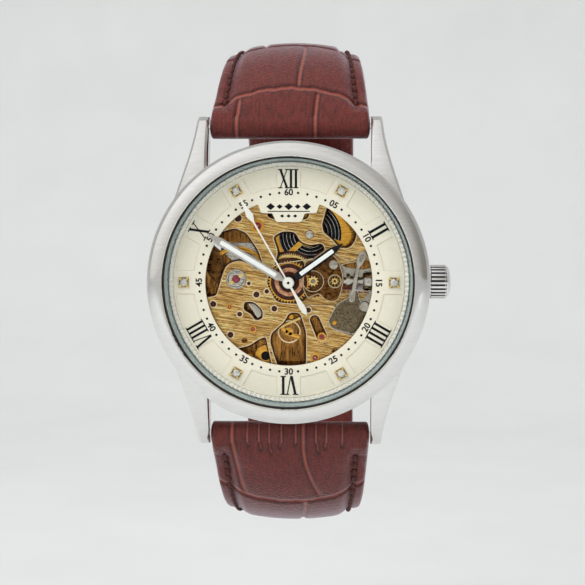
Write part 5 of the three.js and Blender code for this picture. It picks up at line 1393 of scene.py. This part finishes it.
def emboss(s, x, seed, first, near, slant):
    """Large-scale embossing: bowed cross lines with staggered lengthwise lines between them.

    near holds the places across the strap of the first lines, which lean sideways by slant."""
    rng = random.Random(seed)
    lines = []
    at = first
    while at < 125:
        lines.append(at)
        at += rng.uniform(12.0, 14.5)
    bow = 1.9 - 0.022 * x**2
    waver = 0.35 * np.sin(1.7 * x + 2 * seed) + 0.2 * np.sin(3.9 * x + seed)
    depth = np.zeros_like(s)
    for at in lines:
        depth = np.maximum(depth, groove(s - at - bow - waver * 0.25, 0.4))
    edges = [-5.0] + lines + [200.0]
    for row, (start, stop) in enumerate(zip(edges[:-1], edges[1:])):
        shift = rng.uniform(-0.7, 0.7)
        entered = 1 / (1 + np.exp(-(s - start - bow - 0.3) * 4))
        within = entered / (1 + np.exp((s - stop - bow + 0.3) * 4))
        for spot in STAGGERED[row % 4] if row else near:
            bend = spot + (shift if row else slant * s**2 / 10) + 0.3 * np.sin(0.35 * s + seed + spot)
            depth = np.maximum(depth, within * groove(x - bend, 0.36))
    return depth


def folds(s, x):
    """Short lengthwise folds where the lower strap leaves its bar."""
    depth = np.zeros_like(x)
    for place, length in FOLDS:
        fade = np.clip((length + 0.8 - s) / 0.8, 0, 1)
        depth = np.maximum(depth, fade * groove(x - place - 0.2 * np.sin(s + 3 * place), 0.2))
    return depth


def droop(s):
    """How far the strap's edges curl in towards the wrist, in millimetres; it lies flat at bar and buckle."""
    return 1.1 * eased((s - 1.5) / 5.0) * eased((52.0 - s) / 16.0)


def strap_section(s, half, thick, pressed):
    """A cross-section: places across, then heights of the outer and the inner face, and the pressed depth."""
    across = np.linspace(-1, 1, ACROSS)
    x = across * half
    edge = np.minimum(1, (half - np.abs(x)) / 0.5)
    rim = np.sqrt(np.clip(1 - (1 - edge) ** 2, 0, 1))
    curl = droop(s) * across**2
    blend = min(1.0, max(0.0, (s - 1.2) / 2.0))
    padding = (1.1 - 0.35 * across**2) / (1 + np.exp((np.abs(x) - (half - 2.7)) * 3.2))
    deep = pressed(np.full_like(x, s), x)
    valley = 0.34 * blend * groove(np.abs(x) - (half - SEAM_INSET), 0.42)
    top = thick / 4 * (2 - blend + blend * padding) * rim - 0.3 * deep * rim - valley - curl
    return x, top, -(thick / 2) * 0.86 * rim - curl, deep


def strap_mesh(line, even, width_at, thick_at, side, pressed, tip):
    """A closed padded band with an embossed outer face; its last tip millimetres narrow to a point."""
    verts, weights = [], []
    for i, (y, z) in enumerate(line):
        before, after = line[max(i - 1, 0)], line[min(i + 1, len(line) - 1)]
        along = (after - before) / np.hypot(*(after - before))
        out = np.array([-along[1], along[0]]) * side
        half = width_at(even[i]) / 2
        left = even[-1] - even[i]
        if left < tip:
            half *= math.sqrt(max(0.02, 1 - (1 - left / tip) ** 2))
        x, top, low, deep = strap_section(even[i], half, thick_at(even[i]), pressed)
        ring = [(k, top[k], 0.75 * deep[k]) for k in range(ACROSS)]
        ring += [(k, low[k], 0.0) for k in range(ACROSS - 2, 0, -1)]
        for k, height, weight in ring:
            py, pz = np.array([y, z]) + out * height
            verts.append((x[k] * MM, py * MM, pz * MM))
            weights.append(weight)
    rows, size = len(line), 2 * ACROSS - 2
    ends = [tuple(range(size))[::-1], tuple(range((rows - 1) * size, rows * size))]
    mesh = bpy.data.meshes.new("strap")
    mesh.from_pydata(verts, [], quads(rows, size) + ends)
    field = mesh.attributes.new("pressed", "FLOAT", "POINT")
    field.data.foreach_set("value", weights)
    made = bmesh.new()
    made.from_mesh(mesh)
    bmesh.ops.recalc_face_normals(made, faces=made.faces)
    made.to_mesh(mesh)
    made.free()
    return mesh


def roll_mesh(y, z, radius, width):
    """A leather roll round a bar, with the strap's soft edges."""
    steps = [0.0, 0.06, 0.2, 0.45, 0.7, 1.0]
    end = [(radius * math.sqrt(1 - (1 - e) ** 2), width / 2 - 0.5 * e) for e in steps]
    across = np.linspace(width / 2 - 0.55, 0.55 - width / 2, 120)
    profile = end + [(radius, x) for x in across] + [(r, -x) for r, x in end[::-1]]
    sides = 48
    verts = []
    for i in range(sides):
        c, s = math.cos(TURN * i / sides), math.sin(TURN * i / sides)
        verts += [(x * MM, (y + r * c) * MM, (z + r * s) * MM) for r, x in profile]
    mesh = clean_mesh("roll", verts, quads(sides, len(profile), round_rows=True, round_size=False))
    mesh.attributes.new("pressed", "FLOAT", "POINT")
    return mesh


def stitches(line, even, width_at, thick_at, side, start, stop):
    """Thread lying in a groove along both edges: short slanting stitches that dive at each end."""
    pitch, length = 1.5, 1.18
    rings, sides = 7, 8

    def on_line(s):
        return np.array([np.interp(s, even, line[:, 0]), np.interp(s, even, line[:, 1])])

    def place(s, x, lift):
        along = on_line(s + 0.2) - on_line(s)
        along /= np.hypot(*along)
        out = np.array([-along[1], along[0]]) * side
        level = 0.25 * thick_at(s) + 0.06 + lift - droop(s) * (x / (width_at(s) / 2)) ** 2
        y, z = on_line(s) + out * level
        return Vector((x, y, z)) * MM

    verts, faces = [], []
    right = Vector((1, 0, 0))
    for edge in (-1, 1):
        s = start
        while s < stop:
            base = len(verts)
            for u in np.linspace(0, 1, rings):
                at = s + u * length
                lift = 0.12 * math.sin(math.pi * u) - 0.02
                x = edge * (width_at(at) / 2 - SEAM_INSET) + 0.12 * (u - 0.5)
                radius = 0.29 * (0.55 + 0.45 * math.sin(math.pi * u)) * MM
                centre = place(at, x, lift)
                up = (place(at + 0.1, x, lift) - centre).normalized().cross(right).normalized()
                for k in range(sides):
                    c, d = math.cos(TURN * k / sides), math.sin(TURN * k / sides)
                    verts.append(centre + radius * (c * right + d * up))
            faces += quads(rings, sides, base=base)
            faces.append(tuple(range(base, base + sides))[::-1])
            faces.append(tuple(range(len(verts) - sides, len(verts))))
            s += pitch
    return clean_mesh("stitches", verts, faces)


def make_strap(name, side, height, end, inset, thin, rate, first, near, slant, seed, tip, unsewn, rolls):
    """One strap half: its padded band, the rolls round its bars and its stitching.

    The band gets thinner by thin, rate times as fast as its length. first, near and slant place the
    embossing, tip is the length of its rounded tip, and unsewn the length without stitches before its end."""
    line, even = strap_line(side, height, end, inset, STRAP_ROWS)
    total = even[-1]

    def width_at(s):
        return STRAP_WIDTH + (STRAP_END - STRAP_WIDTH) * min(1.0, s / (0.4 * total))

    def thick_at(s):
        return 3.5 - thin * min(1.0, rate * s / total)

    def press(s, x):
        lines = emboss(s, x, seed, first, near, slant)
        return np.maximum(lines, folds(s, x)) if side < 0 else lines

    band = strap_mesh(line, even, width_at, thick_at, side, press, tip)
    roll = roll_mesh(-BAR_T, side * BAR_Y, 1.75, STRAP_WIDTH)
    across = np.array([v.co.x / MM for v in roll.vertices])
    roll.attributes["pressed"].data.foreach_set("value", 0.75 * press(np.zeros_like(across), across))
    far_rolls = [roll_mesh(*place) for place in rolls]
    body = f"{name}_strap"
    whole = merged("strap", band, roll, *far_rolls)
    settle(f"leather_{name}", whole, body, LEATHER, f"strap_{name}", angle=60)
    sewn = stitches(line, even, width_at, thick_at, side, 3.0, total - unsewn)
    settle(f"stitching_{name}", sewn, body, THREAD)


def make_straps():
    """The buckle half above and the holed half below."""
    make_strap(
        "upper", 1, 33.9, -0.06, no_inset, thin=1.3, rate=1.5, first=3.4, near=(-7.4, 3.9), slant=0.0,
        seed=1, tip=0.0, unsewn=6, rolls=[(50.5, -2.4, 1.7, STRAP_END)],
    )
    make_strap(
        "lower", -1, 36.1, -0.72, tuck, thin=1.5, rate=1.8, first=9.7, near=(-8.2, 2.2), slant=0.16,
        seed=2, tip=9.0, unsewn=10, rolls=[],
    )


# ---------------------------------------------------------------- keepers and buckle
def make_keepers():
    """The fixed and the sliding loop: flat bands laid round the strap."""
    half_x, half_r, half_l = 9.35, 1.35, 2.6
    loops = []
    for wall, corner in ((0.7, 1.3), (0.0, 0.6)):
        x, y = half_x + wall, half_r + wall
        loops.append(rounded([(-x, -y, corner), (x, -y, corner), (x, y, corner), (-x, y, corner)], 5))
    for node, body in (("keeper_fixed", "upper_strap"), ("keeper_sliding", "free_keeper")):
        low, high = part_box(node)
        middle_y, middle_z = (low[1] + high[1]) / 2 / MM, (low[2] + high[2]) / 2 / MM
        angle = math.atan2(middle_z, middle_y - LOOP_Y)
        radius = math.hypot(middle_z, middle_y - LOOP_Y)
        c, s = math.cos(angle), math.sin(angle)
        mesh = plate(loops, -half_l, half_l, 0.22, 3)
        for vertex in mesh.vertices:
            # undo stand(), then lay the loop round the strap
            x, across, along = vertex.co.x, vertex.co.z / MM, -vertex.co.y / MM
            y = LOOP_Y + (radius + across) * c - along * s
            z = (radius + across) * s + along * c
            vertex.co = (x, y * MM, z * MM)
        mesh.attributes.new("pressed", "FLOAT", "POINT")
        settle(node.replace("keeper", "loop"), mesh, body, LEATHER, node)


def keep_cad(material, *nodes):
    """CAD nodes whose own shape shows, with a finish and eased edges."""
    for node in nodes:
        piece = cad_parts[node]
        piece.data.materials.clear()
        piece.data.materials.append(material)
        ease_edges(piece, 0.03, 2, 40)


# ---------------------------------------------------------------- stage, light and camera
def make_stage():
    """A pale floor that curves up into a backdrop, so far below the watch that the opened strap clears it."""
    drop, half, front, top = 0.04, 4.0, -5.0, 2.5
    bend_y = radius = 0.35
    floor_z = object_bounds()[0][2] - drop
    rows = [(front, floor_z)]
    for a in np.linspace(0, TURN / 4, 24):
        rows.append((bend_y + radius * math.sin(a), floor_z + radius * (1 - math.cos(a))))
    rows.append((bend_y + radius, top))
    verts = [(x, y, z) for y, z in rows for x in (-half, half)]
    mesh = bpy.data.meshes.new("stage")
    mesh.from_pydata(verts, [], [(i, i + 1, i + 3, i + 2) for i in range(0, len(verts) - 2, 2)])
    floor = bpy.data.objects.new("stage_floor", mesh)
    bpy.context.scene.collection.objects.link(floor)
    mesh.shade_smooth()
    material, nodes, links, shader = new_material("stage_paper")
    soft = noise(nodes, links, mapped(nodes, links, (0.02, 0.02, 0.02)), 2.0)
    tones = [(0.3, (0.71, 0.72, 0.725)), (0.7, (0.74, 0.75, 0.755))]
    links.new(ramp(nodes, links, soft, tones), shader.inputs["Base Color"])
    set_inputs(shader, {"Roughness": 0.7})
    mesh.materials.append(material)


def area_light(name, place, size, power):
    """A soft rectangular lamp aimed at the watch; metals mirror the world instead of it."""
    light = bpy.data.lights.new(name, "AREA")
    light.shape = "RECTANGLE"
    light.size, light.size_y = size
    light.energy = power
    light.color = (0.97, 1.0, 1.0)
    lamp = bpy.data.objects.new(name, light)
    lamp.location = place
    lamp.rotation_euler = (-Vector(place)).to_track_quat("-Z", "Y").to_euler()
    lamp.visible_glossy = False
    bpy.context.scene.collection.objects.link(lamp)


def make_world():
    """A grey studio that is brighter above than below, and brighter on the left than on the right."""
    world = bpy.data.worlds.new("studio")
    bpy.context.scene.world = world
    world.use_nodes = True
    nodes, links = world.node_tree.nodes, world.node_tree.links
    where = nodes.new("ShaderNodeTexCoord")
    split = nodes.new("ShaderNodeSeparateXYZ")
    links.new(where.outputs["Generated"], split.inputs[0])
    upward = ramp(nodes, links, spread(nodes, links, split.outputs["Z"], 0.0, 1.0, -1.0, 1.0), [
        (0.0, (0.44, 0.43, 0.4)),
        (0.45, (0.66, 0.65, 0.62)),
        (0.8, (0.98, 0.97, 0.97)),
    ])
    sideways = ramp(nodes, links, spread(nodes, links, split.outputs["X"], 0.0, 1.0, -1.0, 1.0), [
        (0.1, (1.14, 1.14, 1.13)),
        (0.5, (0.95, 0.95, 0.94)),
        (0.75, (0.62, 0.61, 0.59)),
        (0.95, (0.36, 0.35, 0.33)),
    ])
    background = nodes["Background"]
    links.new(multiplied(nodes, links, upward, sideways), background.inputs["Color"])
    set_inputs(background, {"Strength": 0.95})


AZIMUTH, ELEVATION, DISTANCE = math.radians(2.3), math.radians(3.2), 0.2  # of the photo's camera, in metres
AIM = Vector((0.0006, -0.0087, -0.0013))  # near the middle of the dial
LENS = 89.5


def make_camera():
    """The photo's view: a little from the right and from above."""
    camera = bpy.data.cameras.new("camera")
    camera.lens = LENS
    camera.sensor_width = 36
    camera.clip_start = 0.01
    eye = bpy.data.objects.new("camera", camera)
    level = math.cos(ELEVATION)
    away = Vector((math.sin(AZIMUTH) * level, -math.cos(AZIMUTH) * level, math.sin(ELEVATION)))
    eye.location = AIM + DISTANCE * away
    eye.rotation_euler = (-away).to_track_quat("-Z", "Y").to_euler()
    bpy.context.scene.collection.objects.link(eye)
    bpy.context.scene.camera = eye


# ---------------------------------------------------------------- everything in its order
keep_cad(STEEL, "crown_tube", "spring_bar_upper", "spring_bar_lower")
keep_cad(STEEL, "buckle_frame", "buckle_tongue", "buckle_bar")
keep_cad(BRASS, "movement_holder")
keep_cad(BRIDGE, "pallet_bridge")
keep_cad(ARM_STEEL, "ratchet_wheel", "crown_wheel", "click", "escape_wheel", "pallet_fork", "cannon_pinion")
keep_cad(SATIN_STEEL, "sliding_pinion", "winding_pinion", "stem")
keep_cad(ARM_STEEL, "setting_lever", "yoke")

make_bezel()
make_case()
make_crystal()
make_rehaut()
make_back()
make_crown()
make_dial()
make_numerals()
make_minute_track()
make_gems()
make_main_plate()
make_jewels()
make_screws()
make_barrel()
make_bridges()
make_details()
make_train()
make_balance()
make_motion_works()
make_covers()
make_hands()
make_straps()
make_keepers()

bpy.context.scene.view_settings.view_transform = "Standard"
make_stage()
make_world()
area_light("key", (-0.35, -0.45, 0.5), (0.5, 0.5), 2.05)
area_light("fill", (0.45, -0.5, 0.2), (0.4, 0.6), 0.9)
area_light("top", (0.0, 0.1, 0.6), (0.6, 0.4), 1.3)
make_camera()
